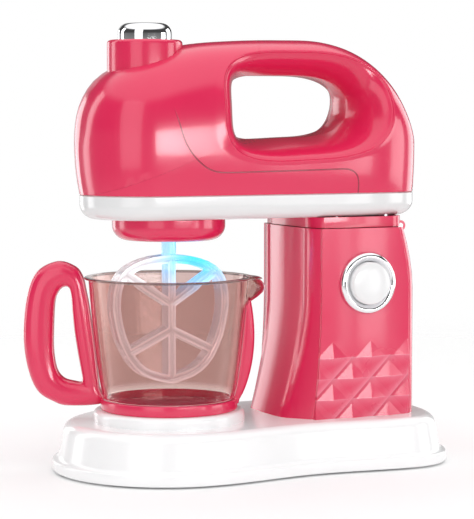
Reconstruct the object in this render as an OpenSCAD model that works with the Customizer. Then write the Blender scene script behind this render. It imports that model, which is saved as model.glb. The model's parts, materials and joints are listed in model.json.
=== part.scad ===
// Toy stand mixer: a white base, a pink column, a tilting pink head with a grip hole,
// a clear bowl with a side handle, a flat beater, and the works inside.
// Millimetres, Z up. The bowl end faces -X and the side with the button faces -Y.
// Sizes are measured from the bowl's axis. The finished model is moved along X to its middle.

/* [Base] */
// Radius of the round front end of the base
base_r = 63.5; // [60:0.5:68]
// From the bowl's axis back to the rear end of the base
base_rear = 157; // [152:1:168]
// Half the width of the base at its waist
waist_half = 56; // [52:0.5:59]
// Half the width of the base beside the column
rear_half = 60; // [57:0.5:64]
// Height of the top face of the base above the table
base_h = 27; // [26:0.5:32]
// Height of the rim round the foot of the base
rim_h = 7; // [6:0.5:9]
// How far the wall of the base stands in from the rim
rim_step = 3.8; // [2.5:0.1:5]
// How much the wall of the base leans in on its way up
wall_lean = 2; // [1:0.1:3]
// Radius of the top edge of the base
base_round = 6; // [4:0.5:7]
// Height of the rubber feet below the base
foot_h = 1; // [0.8:0.1:2]
// Radius of a rubber foot
foot_r = 6; // [4:0.5:8]
// Wall thickness of the moulded shells
wall = 2.2; // [1.8:0.1:2.6]

/* [Bowl seat] */
// Radius of the white disc under the bowl
seat_r = 41; // [39:0.5:44]
// Height of the disc
seat_h = 6.2; // [5:0.1:8]
// Radius of the disc's top edge
seat_round = 2.5; // [1:0.1:4]
// Radius of the low boss that locates the bowl
seat_boss_r = 18; // [12:0.5:24]
// Height of that boss
seat_boss_h = 1.2; // [0.8:0.1:1.4]

/* [Bowl] */
// Radius of the bowl just above its foot
bowl_foot_r = 35; // [33:0.5:36]
// Radius of the bowl under its lip
bowl_top_r = 43.5; // [42:0.5:45]
// From the disc up to the rim of the bowl
bowl_h = 71.8; // [68:0.2:74]
// Wall thickness of the bowl
bowl_wall = 1.8; // [1.2:0.1:2.2]
// How far the lip stands out from the wall
lip_w = 2.2; // [1.5:0.1:2.5]
// Height of the lip
lip_h = 1.2; // [0.8:0.1:2]
// From the bowl's axis to the tip of the spout
spout_reach = 53.6; // [50:0.2:55]
// Half the width of the spout where it leaves the wall
spout_half = 8; // [5:0.5:10]
// Depth of the spout below the rim
spout_drop = 12; // [8:0.5:16]
// Angle from the front end round to the bowl's handle, towards the rear side of the bowl
handle_turn = 25; // [0:1:40]

/* [Bowl frame] */
// Radius of the ring that holds the bowl's foot
ring_r = 37.2; // [36.8:0.1:39]
// Height of that ring
ring_h = 5.8; // [4.5:0.1:7]
// From the bowl's axis to the outside of the handle
handle_reach = 78.8; // [76:0.2:84]
// Thickness of the handle's grip, seen from the side
grip_t = 16.5; // [13:0.5:18]
// Depth of the handle, from its near face to its far face
handle_d = 15; // [12:0.5:18]
// How high the handle's lowest point is above the disc
handle_lift = 1.5; // [1:0.1:4]
// Height of the handle
handle_h = 78.6; // [74:0.2:82]
// How far the spine stands out from the bowl at mid height
spine_proud = 6; // [3:0.5:7]
// Width of the spine
spine_w = 9; // [6:0.5:12]

/* [Beater] */
// Half the width of the beater's loop
beater_half = 34; // [30:0.5:36]
// Height of the beater's loop
loop_h = 70; // [66:0.5:71]
// Gap between the bowl's floor and the beater
beater_gap = 10; // [8:0.5:14]
// Width of the beater's ribs
rib_w = 4.6; // [3.5:0.1:6]
// Thickness of the beater
beater_t = 9; // [6:0.5:10]
// Radius of the beater's stem
stem_r = 3.9; // [3:0.1:4.5]

/* [Column] */
// From the bowl's axis to the column's front face
col_front = 71; // [68:0.5:74]
// Depth of the column, front to rear
col_depth = 64.4; // [61:0.2:66]
// Half the width of the column over its side panels
col_half = 37; // [34:0.5:39]
// Height of the column above the base
col_h = 103.6; // [101:0.2:110]
// How far the column's front spreads at its foot
foot_flare = 12.5; // [6:0.5:14]
// Half the width of the flat face at the front of the column
face_half = 20; // [15:0.5:24]
// Radius of the column's rear edges
col_round = 9; // [6:0.5:14]
// Thickness of a side panel
panel_t = 1.8; // [1.4:0.1:2.4]
// How far the pyramids stand out from the panel
relief = 1.6; // [0.8:0.1:2.4]
// Half the length of a pyramid's base
pyramid_half = 11.7; // [9:0.1:12]

/* [Head] */
// From the bowl's axis to the front of the head
head_front = 51.7; // [49:0.1:54]
// Half the width of the head
head_half = 39.2; // [37:0.1:42]
// How far the head reaches past the column at the rear
tail_over = 6.6; // [4:0.2:10]
// Height of the pink shell of the head
shell_h = 83; // [78:0.5:88]
// How much the shell draws in towards the white band
tuck = 2.7; // [1.5:0.1:4]
// Height of the white band
band_h = 13.2; // [11:0.2:15]
// Radius of the band's lower edge
band_round = 8; // [5:0.5:9]
// Height of the neck between the column and the white band
neck_h = 5.8; // [5:0.1:8]
// Length of the grip hole at its narrowest
hole_l = 72; // [64:0.5:76]
// Height of the grip hole at its narrowest
hole_h = 35; // [31:0.5:36]
// Thickness of the head at the edge of the grip hole
hole_t = 16; // [10:0.5:20]
// Radius of the chuck housing under the head
chuck_r = 30.6; // [28:0.2:33]
// Height of the chuck housing
chuck_h = 11.7; // [10:0.1:13]
// Radius of the chuck housing's lower edge
chuck_round = 8; // [4:0.5:8.5]
// Furthest tilt of the head, in degrees
tilt = 35; // [20:1:40]

/* [Buttons] */
// Radius of the collar round the top button
collar_r = 20.2; // [19:0.1:21.5]
// Radius of the chrome top button
knob_r = 14.45; // [13:0.05:15]
// How far the collar's top lies below the top of the head
collar_drop = 0.9; // [0:0.1:3]
// Height of the top button above its collar
knob_h = 8.9; // [7:0.1:10]
// Travel of the top button
knob_travel = 3; // [2:0.1:4]
// Radius of the chrome ring round the side button
bezel_r = 17; // [16:0.1:18]
// Radius of the side button
cap_r = 11.65; // [10:0.05:12]
// How far the side button stands out from the panel
cap_proud = 6; // [5:0.1:8]
// Travel of the side button
cap_travel = 2.5; // [1.5:0.1:3]
// Height of the side button above the base
cap_rise = 73.6; // [68:0.2:78]

/* [Drive] */
// Size of the gear teeth: pitch diameter over number of teeth
gear_module = 0.9; // [0.8:0.01:0.95]
// Teeth of a small gear
teeth_small = 12; // [12:1:12]
// Teeth of a large gear
teeth_large = 36; // [36:12:36]
// Thickness of a gear
gear_t = 6; // [4:0.5:6.5]
// Radius of the motor's can
motor_r = 10; // [8:0.5:11]
// Length of the motor's can
motor_l = 25; // [20:0.5:26]
// Radius of an AA battery cell
cell_r = 7.1; // [7:0.05:7.25]
// Length of an AA battery cell
cell_l = 50; // [49:0.5:50.5]

/* [Hidden] */
// Slack of a fixed fit, of a running fit on the radius, and between separate moving bodies
fit = 0.15;
run = 0.08;
gap = 0.3;
// One overrun for every cut
over = 1;
// Screws: shank and head radius, head height, and radius of the boss that takes one
screw_r = 1.3;
screw_head_r = 2.7;
screw_head_h = 1.4;
boss_r = 3.6;
// Roundness of circles
$fn = 64;

// Heights of the stack, from the table up
cover_t = wall + fit;
seat_z = base_h + seat_h;
ring_floor = 2;
bowl_z = seat_z + ring_floor;
rim_z = seat_z + bowl_h;
floor_z = bowl_z + bowl_wall;
col_z = base_h + col_h;
neck_z = col_z + gap;
band_z = neck_z + neck_h;
shell_z = band_z + band_h;
top_z = shell_z + shell_h;
chuck_z = band_z - chuck_h;

// Lengthwise places
col_rear = col_front + col_depth;
head_rear = col_rear + tail_over;
dome_x = head_half - head_front;
handle_slope = handle_turn;
front_x = -(handle_reach - handle_d / 2) * cos(handle_slope) - handle_d / 2;
frame_x = -(base_rear + front_x) / 2;

// Helpers

// Moves the model from the bowl's axis to the middle of its own length.
module framed() {
    translate([frame_x, 0, 0]) children();
}

// A point on the smooth curve between b and c, with neighbours a and d.
function spline(a, b, c, d, t) =
    b + t * (c - a) / 2
    + t * t * (2 * a - 5 * b + 4 * c - d) / 2
    + t * t * t * (3 * b - a - 3 * c + d) / 2;

// A smooth open curve through the points, with n steps to each.
function open_curve(p, n) = [
    for (i = [0:len(p) - 2], k = [0:n - 1])
        spline(p[max(i - 1, 0)], p[i], p[i + 1], p[min(i + 2, len(p) - 1)], k / n),
    p[len(p) - 1]
];

// A smooth closed curve through the points.
function closed_curve(p, n) = [
    for (i = [0:len(p) - 1], k = [0:n - 1])
        spline(p[(i + len(p) - 1) % len(p)], p[i], p[(i + 1) % len(p)], p[(i + 2) % len(p)], k / n)
];

// Mirrors a half outline that starts and ends on the centre line.
function whole(half) = concat(half, [for (i = [len(half) - 2:-1:1]) [half[i][0], -half[i][1]]]);

// Lifts a flat outline to a height.
function lifted(outline, z) = [for (p = outline) [p[0], p[1], z]];

// A solid through rings of equal length, capped at its ends or closed on itself.
// Rings run anticlockwise about the direction in which they are stacked.
module skin(rings, closed = false) {
    n = len(rings[0]);
    m = len(rings);
    steps = closed ? m - 1 : m - 2;
    sides = [
        for (i = [0:steps], j = [0:n - 1])
            let (a = i * n + j, b = i * n + (j + 1) % n, e = (i + 1) % m * n)
            each [[a, e + (j + 1) % n, b], [a, e + j, e + (j + 1) % n]]
    ];
    caps = closed ? [] : [[for (j = [0:n - 1]) j], [for (j = [n - 1:-1:0]) (m - 1) * n + j]];
    polyhedron(points = [for (r = rings) each r], faces = concat(sides, caps));
}

// A round tube along a route that never runs along the direction given as across.
function cross_unit(a, b) = let (c = cross(a, b)) c / norm(c);
function heading(p, i) =
    let (d = p[min(i + 1, len(p) - 1)] - p[max(i - 1, 0)]) d / norm(d);
module tube(route, r, across, sides = 6) {
    skin([
        for (i = [0:len(route) - 1])
            let (h = heading(route, i), u = cross_unit(h, across), v = cross(h, u))
            [for (k = [0:sides - 1]) route[i] + r * (u * cos(360 * k / sides) + v * sin(360 * k / sides))]
    ]);
}

// A cylinder along -Y, from the near side inwards: t is the distance out from the middle plane.
module toward_near(x, z, t0, t1, r) {
    translate([x, -t0, z]) rotate([90, 0, 0]) cylinder(r = r, h = t1 - t0);
}

// A screw with a cross in its head. It points up, with the underside of its head at zero.
module screw(length) {
    cross_w = screw_head_r / 4;
    difference() {
        union() {
            translate([0, 0, -screw_head_h]) cylinder(r = screw_head_r, h = screw_head_h, $fn = 24);
            cylinder(r = screw_r, h = length, $fn = 24);
        }
        for (turn = [0, 90]) rotate([0, 0, turn])
            translate([-screw_head_r / 2, -cross_w / 2, -screw_head_h - over])
                cube([screw_head_r, cross_w, over + screw_head_h / 2]);
    }
}

// Outline of the base, drawn in by d. The sides swing in to the waist and out again.
waist_x = 66;
rear_x = 118;
function base_side(x) = x > waist_x
    ? waist_half + (rear_half - waist_half) * (1 - cos(180 * (x - waist_x) / (rear_x - waist_x))) / 2
    : waist_half + (base_r - waist_half) * (1 + cos(180 * x / waist_x)) / 2;
function base_outline(d) = whole(concat(
    [for (k = [0:8]) let (a = 90 * k / 8)
        [rear_x + (base_rear - d - rear_x) * pow(cos(a), 0.8), (rear_half - d) * pow(sin(a), 0.8)]],
    [for (k = [1:10]) let (x = rear_x * (1 - k / 10)) [x, base_side(x) - d]],
    [for (k = [1:10]) let (a = 90 + 9 * k) [(base_r - d) * cos(a), k == 10 ? 0 : (base_r - d) * sin(a)]]
));

// Outline of the head in plan, for half width w, front x0 and rear x1.
tail_l = 52;
tail_power = 3.2;
function plan_side(x, w, x0, x1) = x < dome_x
    ? w * sqrt(max(0, 1 - pow((dome_x - x) / (dome_x - x0), 2)))
    : x > x1 - tail_l ? w * pow(max(0, 1 - pow((x - x1 + tail_l) / tail_l, tail_power)), 1 / tail_power)
    : w;
function plan_outline(w, x0, x1) = whole(concat(
    [for (k = [0:8]) let (a = 90 * k / 8)
        [x1 - tail_l + tail_l * pow(cos(a), 2 / tail_power), w * pow(sin(a), 2 / tail_power)]],
    [for (k = [1:5]) [x1 - tail_l + (dome_x - x1 + tail_l) * k / 5, w]],
    [for (k = [1:10]) let (a = 9 * k)
        [dome_x - (dome_x - x0) * sin(a), k == 10 ? 0 : w * cos(a)]]
));

// Base

step_h = 3.5;
rim_round = 1.2;
wall_in = rim_step + wall_lean;
function base_ring(d, z) = lifted(base_outline(d), z);
cover_screws = [
    for (side = [-1, 1]) each [[-base_r * 0.4, side * base_r * 0.66], [rear_x + cell_r * 3, side * rear_half * 0.34]]
];
col_screw_at = [
    for (side = [-1, 1]) each [[col_front + col_depth * 0.25, side * face_half * 1.1],
                               [col_front + col_depth * 0.8, side * face_half * 1.1]]
];
wire_x = col_front + col_depth * 0.45;
wire_r = 1;
wire_hole_r = 5;
spigot_r = 7;

module base_shell() {
    color("white") framed() difference() {
        union() {
            skin([
                base_ring(wall_in + base_round, base_h - wall),
                base_ring(wall_in + wall, base_h - base_round),
                base_ring(rim_step + wall, rim_h + step_h),
                base_ring(rim_round + wall, rim_h - wall / 2),
                base_ring(rim_round + wall, foot_h),
                base_ring(rim_round, foot_h),
                base_ring(0, foot_h + rim_round),
                base_ring(0, rim_h - rim_round),
                base_ring(rim_round, rim_h),
                base_ring(rim_step, rim_h + step_h),
                for (a = [0:22.5:90]) base_ring(wall_in + base_round * (1 - cos(a)), base_h - base_round * (1 - sin(a)))
            ]);
            for (p = cover_screws) translate([p[0], p[1], foot_h + cover_t])
                cylinder(r = boss_r, h = base_h - wall / 2 - foot_h - cover_t, $fn = 24);
        }
        for (p = cover_screws) translate([p[0], p[1], foot_h])
            cylinder(r = screw_r + fit / 2, h = base_h - foot_h - 2 * wall, $fn = 24);
        for (p = col_screw_at) translate([p[0], p[1], base_h - wall - over])
            cylinder(r = screw_r + fit / 2, h = wall + 2 * over, $fn = 24);
        translate([wire_x, 0, base_h - wall - over]) cylinder(r = wire_hole_r, h = wall + 2 * over);
        translate([0, 0, base_h - wall - over]) cylinder(r = spigot_r + fit, h = wall + 2 * over);
    }
}

// Battery bay under the column, with the cells lying across the base.
bay_play = 2;
bay_ends = 6;
bay_l = 4 * cell_r + bay_play;
bay_w = cell_l + bay_ends;
bay_x = wire_x;
bay_wall = 1.5;
door_lip = 1.4;
door_tab = 11;
door_t = 1.9;
door_l = bay_l + 2 * door_lip + door_tab;
door_x = bay_x - bay_l / 2 - door_lip;
door_screw_x = bay_x + bay_l / 2 + bay_wall + boss_r + fit;
cell_z = foot_h + cover_t + fit + cell_r;
foot_at = [
    for (side = [-1, 1]) each [[-base_r * 0.62, side * base_r * 0.5],
                               [waist_x * 0.75, side * waist_half * 0.72],
                               [rear_x + cell_r, side * rear_half * 0.68]]
];
foot_sink = 0.7;

module base_cover() {
    color("white") framed() difference() {
        union() {
            translate([0, 0, foot_h]) linear_extrude(cover_t) polygon(base_outline(rim_round + wall + fit));
            translate([bay_x - bay_l / 2 - bay_wall, -bay_w / 2 - bay_wall, foot_h])
                cube([bay_l + 2 * bay_wall, bay_w + 2 * bay_wall, cell_z + cell_r - foot_h]);
            translate([door_screw_x, 0, foot_h]) cylinder(r = boss_r, h = 2 * cell_r, $fn = 24);
        }
        translate([bay_x - bay_l / 2, -bay_w / 2, foot_h - over])
            cube([bay_l, bay_w, cell_z + cell_r - foot_h + 2 * over]);
        translate([door_x - fit, -bay_w / 2 - door_lip - fit, foot_h - over])
            cube([door_l + 2 * fit, bay_w + 2 * door_lip + 2 * fit, door_t + fit + over]);
        translate([door_screw_x, 0, foot_h]) cylinder(r = screw_r + fit / 2, h = cell_r * 1.6, $fn = 24);
        for (p = cover_screws) translate([p[0], p[1], foot_h - over]) {
            cylinder(r = screw_r + fit / 2, h = cover_t + 2 * over, $fn = 24);
            cylinder(r = screw_head_r + fit, h = screw_head_h + over, $fn = 24);
        }
        for (p = foot_at) translate([p[0], p[1], foot_h - over])
            cylinder(r = foot_r + fit / 2, h = foot_sink + over);
    }
}

module battery_door() {
    color("white") framed() difference() {
        translate([door_x, -bay_w / 2 - door_lip, foot_h]) cube([door_l, bay_w + 2 * door_lip, door_t]);
        translate([door_screw_x, 0, foot_h - over]) {
            cylinder(r = screw_r + fit / 2, h = door_t + 2 * over, $fn = 24);
            cylinder(r = screw_head_r + fit, h = screw_head_h * 0.7 + over, $fn = 24);
        }
    }
}

module door_screw() {
    color("silver") framed() translate([door_screw_x, 0, foot_h + screw_head_h * 0.7]) intersection() {
        screw(cell_r * 1.2);
        translate([-screw_head_r, -screw_head_r, -screw_head_h * 0.7])
            cube([2 * screw_head_r, 2 * screw_head_r, cell_r * 2]);
    }
}

module battery_cells() {
    nub_r = cell_r * 0.37;
    nub_h = 1.2;
    color("orange") framed() for (side = [-1, 1])
        translate([bay_x + side * (cell_r + gap), 0, cell_z]) rotate([90, 0, 0]) {
            translate([0, 0, -cell_l / 2]) cylinder(r = cell_r, h = cell_l);
            translate([0, 0, side > 0 ? cell_l / 2 - over / 2 : -cell_l / 2 - nub_h])
                cylinder(r = nub_r, h = nub_h + over / 2, $fn = 32);
        }
}

contact_t = 0.5;
contact_w = cell_r * 1.2;
module battery_contacts() {
    color("silver") framed() for (side = [-1, 1], end = [-1, 1])
        translate([bay_x + side * (cell_r + gap) - contact_w / 2,
                   end * (bay_w / 2 - contact_t / 2) - contact_t / 2, cell_z - cell_r * 0.8])
            difference() {
                cube([contact_w, contact_t, cell_r * 1.8]);
                translate([contact_w / 2, -over, cell_r * 1.65]) rotate([-90, 0, 0])
                    cylinder(r = wire_r / 2, h = contact_t + 2 * over, $fn = 16);
            }
}

module base_screws() {
    color("silver") framed() for (p = cover_screws)
        translate([p[0], p[1], foot_h + screw_head_h]) screw(base_h / 2);
}

module feet() {
    color("dimgray") framed() for (p = foot_at)
        translate([p[0], p[1], 0]) cylinder(r = foot_r, h = foot_h + foot_sink);
}

module bowl_seat() {
    arc = [for (a = [0:15:90]) [seat_r - seat_round * (1 - cos(a)), seat_z - seat_round * (1 - sin(a))]];
    color("white") framed() rotate_extrude() polygon(concat(
        [[0, base_h - wall], [spigot_r, base_h - wall], [spigot_r, base_h], [seat_r, base_h]],
        arc,
        [[seat_boss_r, seat_z], [seat_boss_r, seat_z + seat_boss_h], [0, seat_z + seat_boss_h]]
    ));
}

// Bowl and its frame, drawn with the handle along +X and turned to its place.

bowl_curve = 0.62;
foot_lip = 1;
function bowl_side(z) = bowl_foot_r + (bowl_top_r - bowl_foot_r)
    * pow(max(0, (z - seat_z - ring_h) / (rim_z - lip_h - seat_z - ring_h)), bowl_curve);
side_z = [for (k = [0:10]) seat_z + ring_h + gap + (rim_z - lip_h - seat_z - ring_h - gap) * pow(k / 10, 1.4)];

module bowl_turned() {
    framed() rotate([0, 0, 180 - handle_turn]) children();
}

module bowl_shell() {
    foot_in = bowl_foot_r - foot_lip;
    spout_z = rim_z - spout_drop;
    root = bowl_side(spout_z) - bowl_wall / 2;
    color([0.7, 0.55, 0.52, 0.5]) bowl_turned() difference() {
        union() {
            rotate_extrude($fn = 96) polygon(concat(
                [[0, bowl_z], [foot_in, bowl_z], [foot_in, seat_z + ring_h + gap]],
                [for (z = side_z) [bowl_side(z), z]],
                [[bowl_top_r + lip_w, rim_z - lip_h], [bowl_top_r + lip_w, rim_z], [bowl_top_r - bowl_wall, rim_z]],
                [for (k = [10:-1:0]) [bowl_side(side_z[k]) - bowl_wall, side_z[k]]],
                [[foot_in - bowl_wall, floor_z], [0, floor_z]]
            ));
            polyhedron(
                points = [
                    [-bowl_top_r + bowl_wall / 2, -spout_half, rim_z], [-spout_reach, 0, rim_z],
                    [-bowl_top_r + bowl_wall / 2, spout_half, rim_z], [-root, 0, spout_z],
                    [-spout_reach, 0, rim_z - lip_h * 4]
                ],
                faces = [[0, 1, 2], [0, 2, 3], [0, 4, 1], [0, 3, 4], [1, 4, 2], [2, 4, 3]]
            );
        }
        polyhedron(
            points = [
                [-bowl_top_r + lip_w * 2, -spout_half, rim_z + over], [-spout_reach + 3 * bowl_wall, 0, rim_z + over],
                [-bowl_top_r + lip_w * 2, spout_half, rim_z + over], [-root + bowl_wall, 0, spout_z + bowl_wall],
            ],
            faces = [[0, 1, 2], [0, 2, 3], [0, 3, 1], [1, 3, 2]]
        );
    }
}

// Places along the handle: the outside and the finger hole, point against point.
// Each is a share of the handle's reach past the bowl wall, or of its height.
handle_z = seat_z + handle_lift;
handle_in = bowl_foot_r + bowl_wall;
outer_shares = [
    [1, 0.49], [0.955, 0.75], [0.826, 0.925], [0.56, 1], [0.33, 0.965], [0.228, 0.895],
    [0.185, 0.8], [0.142, 0.68], [0.09, 0.47], [0.048, 0.28], [0.015, 0.13], [-0.03, 0.02],
    [0.42, 0], [0.62, 0.03], [0.826, 0.105], [0.95, 0.268]
];
inner_shares = [
    [0, 0.49], [-0.02, 0.71], [-0.07, 0.79], [-0.14, 0.822], [-0.2, 0.815], [-0.226, 0.765],
    [-0.24, 0.66], [-0.262, 0.53], [-0.308, 0.365], [-0.35, 0.24], [-0.366, 0.185], [-0.34, 0.165],
    [-0.25, 0.172], [-0.13, 0.192], [-0.045, 0.25], [-0.005, 0.36]
];
function handle_outer(s) = [handle_in + (handle_reach - handle_in) * s[0], handle_z + handle_h * s[1]];
function handle_inner(s) = [handle_reach - grip_t + (handle_reach - handle_in) * s[0], handle_z + handle_h * s[1]];
handle_rows = 2;
handle_power = 2.6;
function squircle(a) =
    [sign(cos(a)) * pow(abs(cos(a)), 2 / handle_power), sign(sin(a)) * pow(abs(sin(a)), 2 / handle_power)];

module bowl_frame() {
    outer = closed_curve([for (s = outer_shares) handle_outer(s)], handle_rows);
    inner = closed_curve([for (s = inner_shares) handle_inner(s)], handle_rows);
    n = 14;
    loop = [
        for (i = [0:len(outer) - 1])
            let (mid = (outer[i] + inner[i]) / 2, arm = (outer[i] - inner[i]) / 2)
            [for (k = [0:n - 1]) let (q = squircle(360 * k / n))
                [mid[0] + arm[0] * q[0], handle_d / 2 * q[1], mid[1] + arm[1] * q[0]]]
    ];
    spine_top = rim_z - spout_drop - gap;
    spine_foot = seat_z + ring_h / 2;
    rise = spine_top - spine_foot;
    color("deeppink") bowl_turned() {
        difference() {
            union() {
                translate([0, 0, seat_z]) cylinder(r = ring_r, h = ring_h, $fn = 96);
                difference() {
                    skin(loop, closed = true);
                    translate([0, 0, seat_z + ring_h / 2]) cylinder(r = bowl_foot_r + gap, h = handle_h);
                }
                rotate([90, 0, 0]) translate([0, 0, -spine_w / 2]) linear_extrude(spine_w) polygon(concat(
                    [for (t = [0:0.05:1]) let (z = spine_foot + rise * pow(t, 1.4))
                        [-max(bowl_side(z), bowl_foot_r) - spine_proud * pow(sin(20 + 150 * pow(t, 1.4)), 0.8), z]],
                    [for (t = [1:-0.05:0]) let (z = spine_foot + rise * pow(t, 1.4))
                        [-max(bowl_side(z), bowl_foot_r) - 1.5 * gap, z]]
                ));
            }
            translate([0, 0, seat_z + ring_floor]) cylinder(r = bowl_foot_r - foot_lip + fit, h = ring_h, $fn = 96);
            translate([0, 0, seat_z - over])
                cylinder(r = seat_boss_r + gap, h = over + seat_boss_h + fit);
        }
    }
}

// Beater

loop_z = floor_z + beater_gap;
beater_shares = [
    [0, 0], [0.27, 0.03], [0.52, 0.085], [0.73, 0.19], [0.9, 0.36], [0.985, 0.53], [1, 0.64],
    [0.97, 0.76], [0.86, 0.865], [0.64, 0.94], [0.33, 0.985], [0, 1]
];
// The loop drawn in by d, along its own normals.
loop_curve = open_curve([for (s = beater_shares) [s[0] * beater_half, loop_z + s[1] * loop_h]], 2);
function loop_inset(d) = [
    for (i = [0:len(loop_curve) - 1])
        let (t = heading(loop_curve, i), p = loop_curve[i])
        i == 0 ? [0, p[1] + d] : i == len(loop_curve) - 1 ? [0, p[1] - d]
        : [max(0, p[0] - d * t[1]), p[1] + d * t[0]]
];
stem_in = 15;
hub_z = loop_z + loop_h;

// A straight rib from one place to another, both shares of the loop's half width and height.
module rib(a, b) {
    p = [a[0] * beater_half, loop_z + a[1] * loop_h];
    q = [b[0] * beater_half, loop_z + b[1] * loop_h];
    d = (q - p) / norm(q - p) * rib_w / 2;
    polygon([p + [d[1], -d[0]], p + [-d[1], d[0]], q + [-d[1], d[0]], q + [d[1], -d[0]]]);
}

upper_cross_share = 0.62;
lower_cross_share = 0.42;
module beater() {
    color([0.9, 0.95, 1, 0.6]) framed() {
        rotate([90, 0, 0]) translate([0, 0, -beater_t / 2]) linear_extrude(beater_t) {
            difference() {
                polygon(whole_upright(loop_inset(0)));
                polygon(whole_upright(loop_inset(rib_w)));
            }
            intersection() {
                polygon(whole_upright(loop_inset(rib_w / 2)));
                union() {
                    rib([0, 0], [0, 1]);
                    for (side = [-1, 1]) {
                        rib([0, upper_cross_share], [side * 0.8, upper_cross_share + 0.25]);
                        rib([0, lower_cross_share], [side * 0.8, lower_cross_share - 0.19]);
                    }
                }
            }
        }
        difference() {
            translate([0, 0, hub_z - rib_w]) cylinder(r = stem_r, h = chuck_z + stem_in - hub_z + rib_w);
            translate([flat_share * stem_r, -2 * stem_r, chuck_z]) cube([2 * stem_r, 4 * stem_r, 2 * stem_in]);
        }
    }
}
function whole_upright(half) = concat(half, [for (i = [len(half) - 2:-1:1]) [-half[i][0], half[i][1]]]);

// Column

flare_share = 0.6;
face_set = 2.5;
lean_share = 0.68;
top_lean = 6.5;
function spread(s) = pow(max(0, 1 - s / flare_share), 1.6);
function face_x(s) = col_front - foot_flare * spread(s);
function panel_x(s) = col_front + face_set - foot_flare / 3 * spread(s);
function back_x(s) = col_rear - top_lean * pow(max(0, (s - lean_share) / (1 - lean_share)), 1.7);
side_y = col_half - panel_t;
levels = [for (k = [0:12]) k / 12];

// Half a cross-section on the near side at a share of the height, drawn in by d, up to y = mid.
function col_ring(s, d, mid, z) = [
    [face_x(s) + d, mid, z],
    [face_x(s) + d, -face_half + d / 2, z],
    [panel_x(s) + d, -side_y + col_round / 4 + d, z],
    [panel_x(s) + col_round / 4 + d, -side_y + d, z],
    for (a = [90:-18:0]) [back_x(s) - d - col_round + col_round * cos(a), -side_y + d + col_round * (1 - sin(a)), z],
    [back_x(s) - d, mid, z]
];

// Hinge at the top of the column's rear edge.
knuckle_r = 3;
pin_r = 1.5;
hinge_x = back_x(1) - knuckle_r / 3;
hinge_z = col_z + gap;
barrel_half = face_half * 0.7;
ear_end = face_half * 1.4;
block_l = 10;

join_at = [[col_front + col_depth * 0.3, base_h + col_h * 0.22], [col_front + col_depth * 0.62, base_h + col_h * 0.45]];
cap_x = col_front + col_depth * 0.485;
cap_z = base_h + cap_rise;
sleeve_r = cap_r + wall;
pin_reach = 5;
switch_post_r = 3;
switch_half = sleeve_r + switch_post_r + fit;
switch_out = side_y - 2.2 * cap_travel - pin_reach;

module column_half(near) {
    difference() {
        union() {
            difference() {
                skin([for (s = levels) col_ring(s, 0, 0, base_h + col_h * s)]);
                skin([
                    col_ring(0, wall, over, base_h - over),
                    for (s = levels) if (s < 1) col_ring(s, wall, over, base_h + col_h * s),
                    col_ring(1, wall, over, col_z - wall)
                ]);
            }
            for (p = col_screw_at) if (p[1] < 0) {
                translate([p[0], p[1], base_h]) cylinder(r = boss_r, h = 5 * boss_r, $fn = 24);
                translate([p[0] - wall / 2, -side_y + wall / 2, base_h])
                    cube([wall, side_y - wall / 2 + p[1], 5 * boss_r]);
            }
            for (p = join_at) toward_near(p[0], p[1], 0, side_y - wall / 2, boss_r);
            translate([hinge_x - block_l, -ear_end - wall, col_z - block_l])
                cube([block_l, ear_end + wall, block_l]);
            translate([hinge_x, 0, hinge_z]) rotate([90, 0, 0]) cylinder(r = knuckle_r, h = barrel_half);
            if (near) for (side = [-1, 1])
                toward_near(cap_x + side * switch_half, cap_z, switch_out, side_y - wall / 2, switch_post_r);
        }
        for (p = col_screw_at) if (p[1] < 0) translate([p[0], p[1], base_h - over])
            cylinder(r = screw_r + fit / 2, h = 4 * boss_r + over, $fn = 24);
        for (p = join_at) {
            toward_near(p[0], p[1], -over, near ? side_y / 2 : side_y + over, screw_r + fit / 2);
            if (!near) toward_near(p[0], p[1], side_y - wall - screw_head_h, side_y + over, screw_head_r + fit);
        }
        translate([wire_x, 0, col_z - wall - over]) cylinder(r = wire_hole_r, h = wall + 2 * over);
        translate([hinge_x, -barrel_half, hinge_z]) rotate([90, 0, 0])
            cylinder(r = knuckle_r + gap, h = ear_end - barrel_half + gap);
        translate([hinge_x, over, hinge_z]) rotate([90, 0, 0])
            cylinder(r = pin_r + run / 2, h = ear_end + wall + 2 * over, $fn = 32);
        if (near) toward_near(cap_x, cap_z, side_y - 2 * wall, side_y + over, sleeve_r + fit);
    }
}

module column_near() {
    color("deeppink") framed() column_half(true);
}

module column_far() {
    color("hotpink") framed() mirror([0, 1, 0]) column_half(false);
}

module column_screws() {
    color("silver") framed() {
        for (p = col_screw_at) translate([p[0], p[1], base_h - wall]) screw(wall + 3 * boss_r);
        for (p = join_at) translate([p[0], side_y - wall - screw_head_h, p[1]])
            rotate([90, 0, 0]) screw(side_y * 1.4 - wall - screw_head_h);
    }
}

// Side panels, with rows of low pyramids whose bases are diamonds.
panel_levels = [for (k = [0:10]) k / 10];
panel_back = col_round * 0.75;

module panel_plate(t) {
    rotate([90, 0, 0]) linear_extrude(t) polygon(concat(
        [for (s = panel_levels) [panel_x(s) + face_set / 2, base_h + col_h * s]],
        [for (k = [10:-1:0]) [back_x(k / 10) - panel_back, base_h + col_h * k / 10]]
    ));
}

pyramid_rows = 4;
row_step = pyramid_half * 0.97;
row_drop_share = 0.09;
pyramid_x = col_front + col_depth * 0.52;
module pyramids() {
    sink = panel_t / 4;
    for (row = [0:pyramid_rows - 1], col = [-2:0.5:2])
        if ((row + 2 * col + 40) % 2 == 1) {
            x = pyramid_x + col * 2 * pyramid_half;
            z = base_h + (row - row_drop_share) * row_step;
            polyhedron(
                points = [[x - pyramid_half, sink, z], [x, sink, z - row_step], [x + pyramid_half, sink, z],
                          [x, sink, z + row_step], [x, -relief, z]],
                faces = [[0, 1, 2, 3], [0, 4, 1], [1, 4, 2], [2, 4, 3], [3, 4, 0]]
            );
        }
}

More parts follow.
